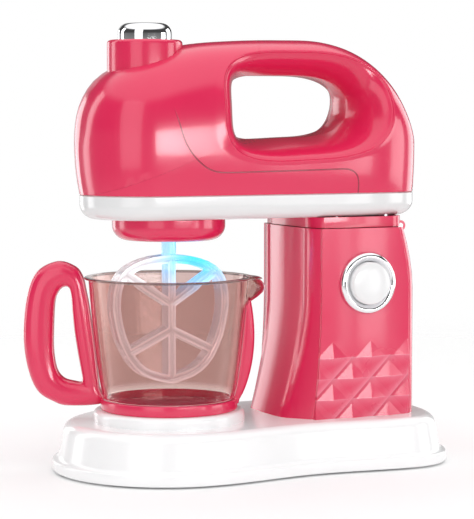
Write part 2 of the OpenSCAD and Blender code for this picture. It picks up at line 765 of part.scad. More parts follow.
module side_panel(near) {
    difference() {
        union() {
            translate([0, -side_y, 0]) panel_plate(panel_t);
            intersection() {
                translate([0, -side_y - panel_t, 0]) pyramids();
                translate([0, -side_y, 0]) panel_plate(panel_t + relief + over);
            }
        }
        if (near) toward_near(cap_x, cap_z, side_y - over, col_half + over, sleeve_r + fit);
    }
}

module panel_near() {
    color("crimson") framed() side_panel(true);
}

module panel_far() {
    color("crimson") framed() mirror([0, 1, 0]) side_panel(false);
}

bezel_out = 3;
bezel_edge = 1.2;
module button_bezel() {
    inner = cap_r + gap;
    color("silver") framed() translate([cap_x, 0, cap_z]) rotate([90, 0, 0]) rotate_extrude() polygon([
        [inner, side_y - wall], [sleeve_r, side_y - wall], [sleeve_r, col_half], [bezel_r, col_half],
        [bezel_r, col_half + bezel_out - bezel_edge], [bezel_r - bezel_edge, col_half + bezel_out],
        [inner + bezel_edge / 2, col_half + bezel_out], [inner, col_half + bezel_out - bezel_edge / 2]
    ]);
}

stem_pin_r = 2.2;
cap_back = side_y - wall - gap;
cap_flange = 1.2;
module side_button() {
    color("white") framed() {
        difference() {
            translate([cap_x, 0, cap_z]) rotate([90, 0, 0]) rotate_extrude() polygon([
                [0, cap_back - cap_flange], [sleeve_r - gap, cap_back - cap_flange], [sleeve_r - gap, cap_back],
                [cap_r, cap_back], [cap_r, col_half + cap_proud - bezel_edge],
                [cap_r - bezel_edge, col_half + cap_proud], [0, col_half + cap_proud]
            ]);
            toward_near(cap_x, cap_z, cap_back - cap_flange - over, col_half + cap_proud - wall, cap_r - wall);
        }
        toward_near(cap_x, cap_z, cap_back - cap_flange - pin_reach, col_half + cap_proud - wall / 2, stem_pin_r);
    }
}

module side_switch() {
    deep = 12;
    post = switch_half + switch_post_r;
    tall = 14;
    color("dimgray") framed() difference() {
        translate([cap_x, -switch_out, cap_z - tall / 2]) {
            translate([-post, 0, 0]) cube([2 * post, wall, tall]);
            translate([-tall / 2, 0, 0]) cube([tall, deep, tall]);
        }
        toward_near(cap_x, cap_z, switch_out - deep * 0.8, switch_out + over, stem_pin_r + run);
    }
}

module hinge_pin() {
    color("silver") framed() translate([hinge_x, ear_end, hinge_z]) rotate([90, 0, 0])
        cylinder(r = pin_r, h = 2 * ear_end, $fn = 32);
}

// Two wires from the battery contacts up through the column to its top.
module stand_wires() {
    color("red") framed() for (side = [-1, 1])
        tube(open_curve([
            [bay_x + side * (cell_r + gap), side * (bay_w / 2 - 2 * wire_r), cell_z + cell_r + wire_r / 2],
            [bay_x + side * cell_r / 2, side * (bay_w / 2 - 2 * wire_r), cell_z + cell_r + 2 * wire_r],
            [bay_x + side * wire_r, side * bay_w / 3, base_h - wall - 3 * wire_r],
            [wire_x, side * 2 * wire_r, base_h - wall / 2],
            [wire_x + 2 * wire_r, side * 2 * wire_r, base_h + 0.4 * col_h],
            [wire_x, side * 2 * wire_r, cap_z],
            [wire_x - 2 * wire_r, side * 2 * wire_r, col_z - 2 * wall],
            [wire_x - wire_r, side * 2 * wire_r, col_z - wall / 2]
        ], 4), wire_r, [1, 0, 0]);
}

// Head

belly_share = 0.3145;
belly_z = shell_z + belly_share * shell_h;
// The silhouette over the top, from the front of the belly to its rear: shares of length and height.
crown_shares = [
    [0, 0.3145], [0.0124, 0.528], [0.0423, 0.6735], [0.0914, 0.784], [0.1946, 0.89], [0.311, 0.96],
    [0.442, 0.989], [0.592, 1], [0.721, 0.9916], [0.8245, 0.917], [0.907, 0.7675], [0.961, 0.5554],
    [0.991, 0.3145]
];
head_l = head_front + head_rear;
function crown_point(s) = [s[0] * head_l - head_front, shell_z + s[1] * shell_h];
crown = open_curve([for (s = crown_shares) crown_point(s)], 6);
crown_power = 2.6;

// Where the radial rows start from: the middle of the grip hole.
hole_x = 68;
hole_height_share = 0.5554;
hole_z = shell_z + hole_height_share * shell_h;
function crown_height(x) = lookup(x, crown);

// Half width of the shell at a place in side view, for a surface drawn in by d.
function narrowing(z) = tuck * pow(max(0, (belly_z - z) / (belly_z - shell_z)), 2);
function shell_side(x, z, d) =
    let (
        in = d + narrowing(z),
        plan = plan_side(x, head_half - in, -head_front + in, head_rear - d),
        top = crown_height(x) - d - belly_z,
        up = z <= belly_z ? 1
            : top <= 0 ? 0
            : pow(max(0, 1 - pow((z - belly_z) / top, crown_power)), 1 / crown_power)
    ) plan * up;

// Distance from the middle of the hole to the silhouette, by direction.
front_low = [dome_x - (head_half - tuck), shell_z];
rear_low = [head_rear, shell_z];
silhouette = concat([front_low], crown, [rear_low]);
function direction(p) = let (a = atan2(p[1] - hole_z, p[0] - hole_x)) a < -100 ? a + 360 : a;
function reach(p) = norm([p[0] - hole_x, p[1] - hole_z]);
reach_table = [for (i = [len(silhouette) - 1:-1:0]) [direction(silhouette[i]), reach(silhouette[i])]];
low_rear_angle = direction(rear_low);
low_front_angle = direction(front_low);

// The edge of the grip hole and the crease round it, as rounded boxes about the same middle.
// Each has powers for its front and rear ends, and rises towards the rear along its lower edge.
crease_l = hole_l * 1.46;
crease_h = hole_h * 1.76;
function box_reach(a, half_l, half_h, front_power, rear_power) =
    let (n = cos(a) < 0 ? front_power : rear_power)
    pow(pow(abs(cos(a)) / half_l, n) + pow(abs(sin(a)) / half_h, n), -1 / n);
function slanted(a, r, half_l, slant) =
    let (drop = max(0, -sin(a)))
    r * (1 - slant * drop * (1 + r * cos(a) / half_l));
function hole_reach(a, d) = slanted(a, box_reach(a, hole_l / 2 + d, hole_h / 2 + d, 6, 2.6), hole_l / 2, 0.07);
function crease_reach(a) = slanted(a, box_reach(a, crease_l / 2, crease_h / 2, 3.4, 2.6), crease_l / 2, 0.07);

// Directions of the rows: over the top, then back along the lower edge.
top_rows = 28;
low_rows = 18;
function low_x(k) = let (u = k / low_rows)
    dome_x + (head_rear - dome_x) * (1 - u * 1.35) >= dome_x
        ? dome_x + (head_rear - dome_x) * pow(max(0, 1 - u * 1.35), 0.9)
        : dome_x - (head_half - tuck) * sin(90 * (u * 1.35 - 1) / 0.35);
row_angles = concat(
    [for (k = [0:top_rows]) low_front_angle + (low_rear_angle - low_front_angle) * k / top_rows],
    [for (k = [1:low_rows - 1]) let (a = atan2(shell_z - hole_z, low_x(k) - hole_x)) a]
);
function place(a, r) = [hole_x + r * cos(a), hole_z + r * sin(a)];

scoop_steps = 4;
side_steps = 8;
function shell_row(i) =
    let (
        a = row_angles[i],
        low = i >= top_rows || i == 0,
        r_hole = hole_reach(a, 0),
        r_in = hole_reach(a, wall),
        r_crease = crease_reach(a),
        r_end = low ? (hole_z - shell_z) / -sin(a) : lookup(a, reach_table),
        end = low ? [place(a, r_end)[0], shell_z] : place(a, r_end),
        shrink = (head_l - tuck - 2 * wall) / (head_l - tuck),
        mid_x = (front_low[0] + head_rear) / 2,
        end_in = low ? [mid_x + (end[0] - mid_x) * shrink, shell_z] : place(a, r_end - wall),
        crease = place(a, r_crease),
        crease_y = shell_side(crease[0], crease[1], 0),
        edge_y = hole_t / 2,
        start = place(a, r_hole),
        start_in = place(a, r_in),
        outer = concat(
            [[start[0], 0, start[1]]],
            [for (k = [0:scoop_steps - 1]) let (t = k / scoop_steps, p = start + (crease - start) * t)
                [p[0], -(edge_y + (crease_y - edge_y) * (1 - pow(1 - t, 2))), p[1]]],
            [for (k = [0:side_steps]) let (t = 1 - pow(1 - k / side_steps, 2), p = crease + (end - crease) * t)
                [p[0], k == side_steps && !(low && i > top_rows) ? 0 : -shell_side(p[0], p[1], 0), p[1]]]
        ),
        inner = concat(
            [for (k = [side_steps:-1:0]) let (t = 1 - pow(1 - k / side_steps, 2), p = crease + (end_in - crease) * t)
                [p[0], k == side_steps && !(low && i > top_rows) ? 0 : -shell_side(p[0], p[1], wall) , p[1]]],
            [for (k = [scoop_steps - 1:-1:0]) let (t = k / scoop_steps, p = start_in + (crease - start_in) * t)
                [p[0], -(edge_y - wall + (crease_y - edge_y) * (1 - pow(1 - t, 2))), p[1]]],
            [[start_in[0], 0, start_in[1]]]
        )
    ) concat(outer, inner);

// Places of the screws that join the two halves, and of those that hold the tray.
shell_screw_at = [[-head_front / 2, shell_z + 0.48 * shell_h], [hole_x - hole_l * 0.4, shell_z + 0.1 * shell_h],
                  [head_rear - tail_l * 0.8, shell_z + 0.1 * shell_h]];
collar_set = 1.1;
collar_x = dome_x - collar_set;
collar_z = shell_z + 0.66 * shell_h;

module head_half_shell(near) {
    difference() {
        union() {
            skin([for (i = [len(row_angles) - 1:-1:0]) shell_row(i)], closed = true);
            for (p = shell_screw_at)
                toward_near(p[0], p[1], 0, shell_side(p[0], p[1], wall * 0.7), boss_r);
        }
        translate([collar_x, 0, collar_z]) cylinder(r = collar_r + fit, h = shell_h);
        for (p = shell_screw_at) {
            toward_near(p[0], p[1], -over, near ? head_half / 2 : head_half + over, screw_r + fit / 2);
            if (!near) toward_near(p[0], p[1], head_half * 0.6, head_half + over, screw_head_r + fit);
        }
    }
}

module head_shell_near() {
    color("deeppink") framed() head_half_shell(true);
}

module head_shell_far() {
    color("hotpink") framed() mirror([0, 1, 0]) head_half_shell(false);
}

// White band: a tray that closes the shell from below and carries the works.
band_half = head_half - tuck;
tray_top = band_z + wall;
function band_ring(d, z) = lifted(plan_outline(band_half - d, front_low[0] + d, head_rear - d), z);

// Gears, pressure angle 25 degrees. The motor drives the idler, and the idler the shaft.
pressure = 25;
backlash = 0.16;
gear_rise = gap;
layer_gap = 4;
axle_r = 1.5;
shaft_r = 2.5;
pivot_r = 1;
centre_d = gear_module * (teeth_small + teeth_large) / 2;
low_gear_z = shell_z + gear_rise;
high_gear_z = low_gear_z + gear_t + layer_gap;
plate_lift = 1.8;
plate_z = high_gear_z + gear_t + plate_lift;
plate_top = plate_z + wall;
function roll(a) = tan(a) * 180 / PI - a;
function tooth_half(r, pitch_r, base_r_, teeth) =
    90 / teeth - backlash / 4 / pitch_r * 180 / PI + roll(pressure) - roll(acos(min(1, base_r_ / r)));
module gear(teeth, phase) {
    pitch_r = gear_module * teeth / 2;
    round_r = pitch_r * cos(pressure);
    tip_r = pitch_r + 0.9 * gear_module;
    root_r = pitch_r - 1.2 * gear_module;
    low_r = max(round_r, root_r);
    radii = concat(root_r < round_r ? [root_r] : [], [for (k = [0:3]) low_r + (tip_r - low_r) * k / 3]);
    n = len(radii);
    linear_extrude(gear_t) polygon([
        for (i = [0:teeth - 1], k = [0:2 * n - 1])
            let (r = radii[k < n ? k : 2 * n - 1 - k], h = tooth_half(max(r, low_r), pitch_r, round_r, teeth),
                 a = phase + 360 * i / teeth + (k < n ? -h : h))
            [r * cos(a), r * sin(a)]
    ]);
}

// Places inside the head.
idler_x = -centre_d;
gear_tip = gear_module * (teeth_large / 2 + 1);
post_at = [[idler_x / 2, gear_tip + 2.7 * boss_r], [idler_x / 2, -gear_tip - 2.7 * boss_r],
           [gear_tip + 2.4 * boss_r, 0]];
neck_in = 1.2;
neck_screw_at = [
    for (side = [-1, 1], share = [0.25, 0.72])
        [col_front + col_depth * share, side * (side_y - neck_in - wall - boss_r * 0.8)]
];
chuck_screw_at = [for (a = [45:90:315]) (chuck_r - wall - boss_r * 0.8) * [cos(a), sin(a)]];
socket_wall = 2;
socket_r = stem_r + run + socket_wall;
bush_wall = 1.8;
bush_flange = 1.3;
led_x = chuck_r / 2;
led_r = 2.5;
tray_hole_r = 4;

module head_tray() {
    color("white") framed() difference() {
        union() {
            skin([
                for (a = [90:-22.5:0]) band_ring(band_round * (1 - cos(a)), band_z + band_round * (1 - sin(a))),
                band_ring(0, shell_z),
                band_ring(wall, shell_z),
                band_ring(wall, band_z + band_round),
                band_ring(wall + band_round / 3, tray_top + band_round / 4),
                band_ring(band_round, tray_top)
            ]);
            for (p = post_at) translate([p[0], p[1], tray_top - wall / 2])
                cylinder(r = boss_r, h = plate_z - tray_top + wall / 2, $fn = 24);
            translate([idler_x, 0, tray_top - wall / 2])
                cylinder(r = boss_r, h = low_gear_z - 3 * gap - tray_top + wall / 2, $fn = 24);
        }
        translate([0, 0, band_z - over]) cylinder(r = socket_r + run + bush_wall + fit, h = wall + 2 * over);
        translate([wire_x, 0, band_z - over]) cylinder(r = tray_hole_r, h = wall + 2 * over);
        translate([led_x, 0, band_z - over]) cylinder(r = led_r, h = wall + 2 * over, $fn = 24);
        for (p = concat(neck_screw_at, chuck_screw_at)) translate([p[0], p[1], band_z - over])
            cylinder(r = screw_r + fit / 2, h = wall + 2 * over, $fn = 24);
        for (p = neck_screw_at) translate([p[0], p[1], tray_top])
            cylinder(r = screw_head_r + fit, h = shell_z - tray_top + over, $fn = 24);
        for (p = post_at) translate([p[0], p[1], plate_z - 4 * boss_r])
            cylinder(r = screw_r + fit / 2, h = 4 * boss_r + over, $fn = 24);
        translate([idler_x, 0, tray_top]) cylinder(r = axle_r + run / 2, h = low_gear_z, $fn = 32);
    }
}

module neck_collar() {
    function neck_outline(d) =
        let (half = [for (p = col_ring(1, d, 0, 0)) [p[0], p[1]]])
        concat(half, [for (i = [len(half) - 2:-1:1]) [half[i][0], -half[i][1]]]);
    color("deeppink") framed() difference() {
        union() {
            translate([0, 0, neck_z]) linear_extrude(neck_h) difference() {
                polygon(neck_outline(neck_in));
                polygon(neck_outline(neck_in + wall));
            }
            for (p = neck_screw_at) translate([p[0], p[1], neck_z]) cylinder(r = boss_r, h = neck_h, $fn = 24);
            for (side = [-1, 1]) translate([hinge_x, side * (ear_end + barrel_half + gap) / 2, hinge_z])
                rotate([90, 0, 0]) cylinder(r = knuckle_r, h = ear_end - barrel_half - gap, center = true);
        }
        translate([hinge_x, 0, hinge_z]) rotate([90, 0, 0]) {
            cylinder(r = knuckle_r + gap, h = 2 * (barrel_half + gap), center = true);
            cylinder(r = pin_r + run, h = 2 * (ear_end + over), center = true, $fn = 32);
        }
        for (p = neck_screw_at) translate([p[0], p[1], neck_z - over])
            cylinder(r = screw_r + fit / 2, h = neck_h + 2 * over, $fn = 24);
    }
}

module chuck_housing() {
    in_round = chuck_round - wall;
    lamp_r = led_r + fit;
    color("deeppink") framed() difference() {
        union() {
            rotate_extrude($fn = 96) polygon(concat(
                [[chuck_r, band_z]],
                [for (a = [0:-15:-90]) [chuck_r - chuck_round * (1 - cos(a)), chuck_z + chuck_round * (1 + sin(a))]],
                [[socket_r + 3 * gap, chuck_z], [socket_r + 3 * gap, chuck_z + wall]],
                [for (a = [-90:15:0]) [chuck_r - wall - in_round * (1 - cos(a)), chuck_z + wall + in_round * (1 + sin(a))]],
                [[chuck_r - wall, band_z]]
            ));
            for (p = chuck_screw_at) translate([p[0], p[1], chuck_z + wall / 2])
                cylinder(r = boss_r, h = chuck_h - wall / 2, $fn = 24);
            translate([led_x, 0, chuck_z + wall / 2]) cylinder(r = lamp_r + bush_wall, h = chuck_h / 2, $fn = 32);
        }
        for (p = chuck_screw_at) translate([p[0], p[1], chuck_z + wall])
            cylinder(r = screw_r + fit / 2, h = chuck_h, $fn = 24);
        translate([led_x, 0, chuck_z - over]) cylinder(r = led_r + bush_wall / 2 + fit, h = wall + over, $fn = 32);
        translate([led_x, 0, chuck_z]) cylinder(r = lamp_r, h = chuck_h, $fn = 32);
    }
}

module light_lens() {
    r = led_r + bush_wall / 2;
    color("lightcyan") framed() translate([led_x, 0, chuck_z]) rotate_extrude($fn = 32) polygon(concat(
        [for (a = [-90:22.5:0]) [r * cos(a), r / 3 * sin(a)]], [[r, wall], [0, wall]]));
}

module light_bulb() {
    z = chuck_z + wall + gap;
    color("deepskyblue") framed() translate([led_x, 0, z]) rotate_extrude($fn = 32) polygon(concat(
        [for (a = [-90:22.5:0]) [led_r * cos(a), led_r * (1 + sin(a))]],
        [[led_r, chuck_h * 0.75], [0, chuck_h * 0.75]]));
}

module drive_bush() {
    color("ivory") framed() rotate_extrude() polygon([
        [socket_r + run, band_z - bush_wall], [socket_r + run + bush_wall, band_z - bush_wall],
        [socket_r + run + bush_wall, tray_top], [socket_r + run + 2 * bush_wall, tray_top],
        [socket_r + run + 2 * bush_wall, tray_top + bush_flange], [socket_r + run, tray_top + bush_flange]
    ]);
}

// Stem of the beater and the socket that drives it have a flat on one side.
flat_share = 0.75;
shoulder_z = max(tray_top + bush_flange + run, chuck_z + stem_in + gap);
module drive_shaft() {
    bore_r = stem_r + run;
    color("lightgray") framed() difference() {
        rotate_extrude() polygon([
            [0, chuck_z + gap], [socket_r, chuck_z + gap], [socket_r, tray_top + bush_flange + run],
            [socket_r + bush_wall, tray_top + bush_flange + run], [socket_r + bush_wall, shoulder_z + socket_wall],
            [shaft_r, shoulder_z + socket_wall], [shaft_r, high_gear_z - layer_gap / 2],
            [0, high_gear_z - layer_gap / 2]
        ]);
        translate([0, 0, chuck_z - over]) intersection() {
            cylinder(r = bore_r, h = over + stem_in + gap);
            translate([-2 * bore_r, -2 * bore_r, 0])
                cube([2 * bore_r + flat_share * stem_r + run, 4 * bore_r, over + stem_in + gap]);
        }
    }
}

module drive_gear() {
    color("ivory") framed() difference() {
        translate([0, 0, low_gear_z]) {
            gear(teeth_large, 0);
            translate([0, 0, shoulder_z + socket_wall + run - low_gear_z])
                cylinder(r = 2 * shaft_r, h = low_gear_z + gear_t + run - shoulder_z - socket_wall);
        }
        cylinder(r = shaft_r + run / 4, h = 2 * low_gear_z, $fn = 48);
    }
}

module idler_gear() {
    hub_r = gear_module * (teeth_small / 2 - 1.5);
    color("ivory") framed() translate([idler_x, 0, 0]) difference() {
        union() {
            translate([0, 0, low_gear_z]) gear(teeth_small, 180 / teeth_small);
            translate([0, 0, high_gear_z]) gear(teeth_large, 0);
            translate([0, 0, low_gear_z - 2 * gap]) cylinder(r = hub_r, h = plate_z - low_gear_z + gap);
        }
        cylinder(r = axle_r + run, h = 2 * low_gear_z, $fn = 32);
    }
}

module idler_axle() {
    color("silver") framed() translate([idler_x, 0, tray_top]) cylinder(r = axle_r, h = plate_top - tray_top, $fn = 32);
}

module motor_pinion() {
    color("gold") framed() difference() {
        translate([0, 0, high_gear_z]) gear(teeth_small, 180 / teeth_small);
        cylinder(r = pivot_r + run / 4, h = 2 * high_gear_z, $fn = 32);
    }
}

pivot_in = 8;
module motor_shaft() {
    color("silver") framed() translate([0, 0, high_gear_z - gap])
        cylinder(r = pivot_r, h = plate_top + pivot_in - high_gear_z + gap, $fn = 32);
}

motor_boss_r = 3;
flat_can_share = 0.78;
module gearbox_plate() {
    color("whitesmoke") framed() difference() {
        translate([0, 0, plate_z]) linear_extrude(wall) union() {
            polygon([for (p = post_at) p]);
            for (p = post_at) translate(p) circle(r = 1.3 * boss_r);
            circle(r = motor_r + wall);
            translate([idler_x, 0]) circle(r = 2 * boss_r);
            translate([idler_x, -boss_r]) square([centre_d, 2 * boss_r]);
        }
        translate([0, 0, plate_z - over]) {
            cylinder(r = motor_boss_r + fit, h = wall + 2 * over);
            translate([idler_x, 0, 0]) cylinder(r = axle_r + run / 2, h = wall + 2 * over, $fn = 32);
            for (p = post_at) translate([p[0], p[1], 0]) cylinder(r = screw_r + fit / 2, h = wall + 2 * over, $fn = 24);
        }
    }
}

tab_w = 2.2;
tab_t = 0.5;
module motor() {
    color("gray") framed() difference() {
        union() {
            translate([0, 0, plate_top]) intersection() {
                cylinder(r = motor_r, h = motor_l);
                translate([-motor_r, -motor_r * flat_can_share, 0])
                    cube([2 * motor_r, 2 * motor_r * flat_can_share, motor_l]);
            }
            translate([0, 0, plate_z + gap]) cylinder(r = motor_boss_r, h = 2 * wall);
            for (side = [-1, 1])
                translate([side * motor_r / 2 - tab_t / 2, -tab_w / 2, plate_top + motor_l - wall])
                    cube([tab_t, tab_w, wall + 2 * tab_w]);
        }
        translate([0, 0, plate_z - over]) cylinder(r = pivot_r + run, h = wall + over + pivot_in + gap, $fn = 32);
    }
}

// Top button with its collar, switch and spring.
collar_top = top_z - collar_drop;
collar_round = 2;
flange_w = 1.8;
flange_h = 1.2;
knob_top = collar_top + knob_h;
knob_round = knob_r * 0.38;
knob_in_r = knob_r - wall;
flange_z = collar_top - wall - gap - flange_h;
collar_floor = flange_z - knob_travel - 3 * wall - gap;
collar_in = knob_r + flange_w + gap;

module switch_collar() {
    color("deeppink") framed() translate([collar_x, 0, 0]) rotate_extrude($fn = 96) polygon(concat(
        [[collar_r, collar_z + gap]],
        [for (a = [0:22.5:90]) [collar_r - collar_round * (1 - cos(a)), collar_top - collar_round * (1 - sin(a))]],
        [[knob_r + gap, collar_top], [knob_r + gap, collar_top - wall], [collar_in, collar_top - wall],
         [collar_in, collar_floor + wall], [stem_pin_r + gap, collar_floor + wall],
         [stem_pin_r + gap, collar_floor], [collar_in, collar_floor], [collar_in, collar_z + gap]]
    ));
}

module top_button() {
    color("silver") framed() translate([collar_x, 0, 0]) rotate_extrude($fn = 96) polygon(concat(
        [[knob_in_r, flange_z], [knob_r + flange_w, flange_z], [knob_r + flange_w, flange_z + flange_h],
         [knob_r, flange_z + flange_h]],
        [for (a = [0:15:90]) [knob_r - knob_round * (1 - cos(a)), knob_top - knob_round * (1 - sin(a))]],
        [[0, knob_top], [0, collar_floor - wall], [stem_pin_r, collar_floor - wall],
         [stem_pin_r, knob_top - wall], [knob_in_r - knob_round / 2, knob_top - wall],
         [knob_in_r, knob_top - wall - knob_round / 2]]
    ));
}

switch_deep = 10;
switch_w = 13;
module top_switch() {
    color("dimgray") framed() translate([collar_x, 0, collar_floor]) difference() {
        translate([-switch_w / 2, -switch_w / 2, -switch_deep]) cube([switch_w, switch_w, switch_deep]);
        translate([0, 0, -wall - knob_travel - 2 * gap])
            cylinder(r = stem_pin_r + run, h = wall + knob_travel + 2 * gap + over);
    }
}

spring_wire_r = 0.5;
spring_r = 6;
spring_turns = 6;
spring_play = 0.1;
spring_z0 = collar_floor + wall + spring_wire_r + spring_play;
spring_z1 = knob_top - wall - spring_wire_r - spring_play;
module button_spring() {
    steps = 12 * spring_turns;
    color("silver") framed() translate([collar_x, 0, 0]) tube([
        for (k = [0:steps]) let (a = 30 * k)
            [spring_r * cos(a), spring_r * sin(a), spring_z0 + (spring_z1 - spring_z0) * k / steps]
    ], spring_wire_r, [0, 0, 1], 5);
}

screw_in = 9;
module head_screws() {
    color("silver") framed() for (p = shell_screw_at)
        translate([p[0], head_half * 0.6, p[1]]) rotate([90, 0, 0]) screw(head_half);
}

module tray_screws() {
    color("silver") framed() {
        for (p = post_at) translate([p[0], p[1], plate_top]) mirror([0, 0, 1]) screw(screw_in);
        for (p = concat(neck_screw_at, chuck_screw_at))
            translate([p[0], p[1], tray_top]) mirror([0, 0, 1]) screw(wall + neck_h * 0.9);
    }
}

// Wires: from the tray's hole to the motor, from the motor to the switch, and to the light.
module head_wires() {
    motor_top = plate_top + motor_l + tab_w;
    color("red") framed() {
        tube(open_curve([
            [wire_x, 0, tray_top + 1.5 * wire_r], [wire_x - 3 * wire_r, 2 * wire_r, tray_top + 2.5 * wire_r],
            [col_front, band_half / 2, tray_top + 3 * wire_r], [post_at[2][0] + 3 * boss_r, band_half / 2, tray_top + 3 * wire_r],
            [motor_r + 5 * wire_r, band_half / 2.2, plate_top], [motor_r + 3 * wire_r, band_half / 4, plate_top + motor_l],
            [motor_r / 2 + tab_t / 2 + wire_r, 0, motor_top]
        ], 4), wire_r, [0, 0, 1]);
        tube(open_curve([
            [-motor_r / 2 + tab_t / 2 + wire_r, 0, motor_top],
            [-motor_r / 2, switch_w / 2 + 2 * wire_r, motor_top + wire_r],
            [collar_x + wire_r, switch_w / 2 + 2.5 * wire_r, collar_floor - switch_deep * 0.8],
            [collar_x, switch_w / 2 + wire_r, collar_floor - switch_deep / 2]
        ], 4), wire_r, [1, 0, 0]);
        tube(open_curve([
            [led_x, 0, chuck_z + wall + gap + chuck_h * 0.75 + wire_r / 3], [led_x, wire_r / 2, tray_top],
            [led_x + wire_r, 4 * wire_r, tray_top + 4 * wire_r],
            [gear_tip + 3 * wire_r, band_half / 3, low_gear_z], [motor_r + 6 * wire_r, band_half / 3.4, plate_top],
            [motor_r + 3.2 * wire_r, band_half / 7, plate_top + motor_l * 0.7]
        ], 4), wire_r / 2, [1, 0, 0]);
    }
}

base_shell();
base_cover();
battery_door();
door_screw();
battery_cells();
battery_contacts();
base_screws();
feet();
bowl_seat();
bowl_shell();
bowl_frame();
beater();
column_near();
column_far();
column_screws();
panel_near();
panel_far();
button_bezel();
side_button();
side_switch();
hinge_pin();
stand_wires();
head_shell_near();
head_shell_far();
head_tray();
neck_collar();
chuck_housing();
light_lens();
light_bulb();
drive_bush();
drive_shaft();
drive_gear();
idler_gear();
idler_axle();
motor_pinion();
motor_shaft();
gearbox_plate();
motor();
switch_collar();
top_button();
top_switch();
button_spring();
head_screws();
tray_screws();
head_wires();
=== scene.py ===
"""Toy stand mixer: the look of each moulded piece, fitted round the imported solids.

The file is laid out as an add-on and is run as a script.
Shapes are drafted in millimetres about the bowl's axis, Z up, with the bowl end towards -X
and the side with the button towards -Y. They are placed in the frame when a piece is finished.
"""

import json
import math

import bmesh
import bpy
from bpy.props import FloatProperty, FloatVectorProperty, PointerProperty
from mathutils import Matrix, Vector

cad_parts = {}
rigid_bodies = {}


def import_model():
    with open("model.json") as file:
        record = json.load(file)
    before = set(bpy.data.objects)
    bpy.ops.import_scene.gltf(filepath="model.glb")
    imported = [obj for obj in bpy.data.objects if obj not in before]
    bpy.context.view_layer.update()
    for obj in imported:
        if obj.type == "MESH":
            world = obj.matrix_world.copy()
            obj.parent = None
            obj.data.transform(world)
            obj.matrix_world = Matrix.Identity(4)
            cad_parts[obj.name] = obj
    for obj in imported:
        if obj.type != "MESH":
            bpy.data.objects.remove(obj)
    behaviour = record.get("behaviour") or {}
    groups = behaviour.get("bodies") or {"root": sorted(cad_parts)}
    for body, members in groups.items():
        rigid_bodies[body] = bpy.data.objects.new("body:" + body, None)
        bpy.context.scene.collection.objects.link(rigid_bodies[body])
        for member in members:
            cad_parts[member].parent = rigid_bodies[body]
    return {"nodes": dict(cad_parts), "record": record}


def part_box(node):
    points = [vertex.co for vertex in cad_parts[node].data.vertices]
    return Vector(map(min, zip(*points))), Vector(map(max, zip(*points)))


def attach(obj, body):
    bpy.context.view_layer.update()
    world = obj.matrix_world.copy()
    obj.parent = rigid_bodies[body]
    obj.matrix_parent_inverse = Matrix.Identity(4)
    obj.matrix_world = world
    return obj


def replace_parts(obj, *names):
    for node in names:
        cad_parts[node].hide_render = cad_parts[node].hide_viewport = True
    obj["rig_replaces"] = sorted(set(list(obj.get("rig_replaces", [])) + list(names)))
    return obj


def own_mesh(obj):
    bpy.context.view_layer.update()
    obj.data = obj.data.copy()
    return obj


bl_info = {
    "name": "Toy stand mixer",
    "version": (1, 0, 0),
    "blender": (4, 5, 0),
    "location": "View3D > Sidebar > Mixer",
    "description": "Builds a toy stand mixer round its packed frame",
    "category": "Add Mesh",
}

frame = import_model()

# Measures read from the frame

MM = 0.001


def middle(node, axis):
    """The middle of a CAD node's box along an axis."""
    low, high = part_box(node)
    return (low[axis] + high[axis]) / 2


AXIS_X = middle("bowl_seat", 0)
TO_FRAME = Matrix.Translation((AXIS_X, 0, 0)) @ Matrix.Scale(MM, 4)
TO_DRAFT = TO_FRAME.inverted()


class Room:
    """The box of a CAD node, in millimetres about the bowl's axis."""

    def __init__(self, node):
        low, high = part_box(node)
        self.front, self.near, self.bottom = TO_DRAFT @ Vector(low)
        self.rear, self.far, self.top = TO_DRAFT @ Vector(high)
        self.mid = (self.front + self.rear) / 2


BASE = Room("base_shell")
SEAT = Room("bowl_seat")
BOWL = Room("bowl_shell")
COLUMN = Room("column_near")
SHELL = Room("head_shell_near")
TRAY = Room("head_tray")
CHUCK = Room("chuck_housing")
COLLAR = Room("switch_collar")
KNOB = Room("top_button")
CAP = Room("side_button")
BEZEL = Room("button_bezel")
LENS = Room("light_lens")


# Sizes and colours that a user would change


class MixerSizes(bpy.types.PropertyGroup):
    base_round: FloatProperty(
        name="Base edge", description="Radius of the top edge of the base",
        default=6 * MM, min=2 * MM, unit="LENGTH")
    seat_round: FloatProperty(
        name="Seat edge", description="Radius of the edge of the disc under the bowl",
        default=2.5 * MM, unit="LENGTH")
    bowl_wall: FloatProperty(
        name="Bowl wall", description="Wall thickness of the clear bowl",
        default=1.8 * MM, min=MM, unit="LENGTH")
    spine_width: FloatProperty(
        name="Spine width", description="Width of the spine up the bowl's side",
        default=9 * MM, unit="LENGTH")
    rib_bevel: FloatProperty(
        name="Rib edge", description="Radius of the edges of the beater's ribs",
        default=0.4 * MM, unit="LENGTH")
    shell_wall: FloatProperty(
        name="Shell wall", description="Wall thickness of the moulded shells",
        default=2.2 * MM, unit="LENGTH")
    band_round: FloatProperty(
        name="Band edge", description="Radius of the lower edge of the white band",
        default=8 * MM, unit="LENGTH")
    seam_half: FloatProperty(
        name="Seam half width", description="Where the parting line on the head's side has faded out",
        default=0.5 * MM, unit="LENGTH")


class MixerColours(bpy.types.PropertyGroup):
    pink: FloatVectorProperty(
        name="Pink", description="Colour of the head, column and bowl frame",
        subtype="COLOR", default=(0.785, 0.019, 0.096))
    white: FloatVectorProperty(
        name="White", description="Colour of the base, the bowl seat and the band",
        subtype="COLOR", default=(0.92, 0.92, 0.925))
    smoke: FloatVectorProperty(
        name="Smoke", description="Tint of the clear bowl",
        subtype="COLOR", default=(0.66, 0.475, 0.445))
    milk: FloatVectorProperty(
        name="Milk", description="Colour of the beater",
        subtype="COLOR", default=(0.86, 0.87, 0.9))
    # The colour of the lamp under the head, painted on the beater as its light and glow
    glow: FloatVectorProperty(
        name="Glow", description="Colour of the light under the head",
        subtype="COLOR", default=(0.03, 0.37, 0.7))


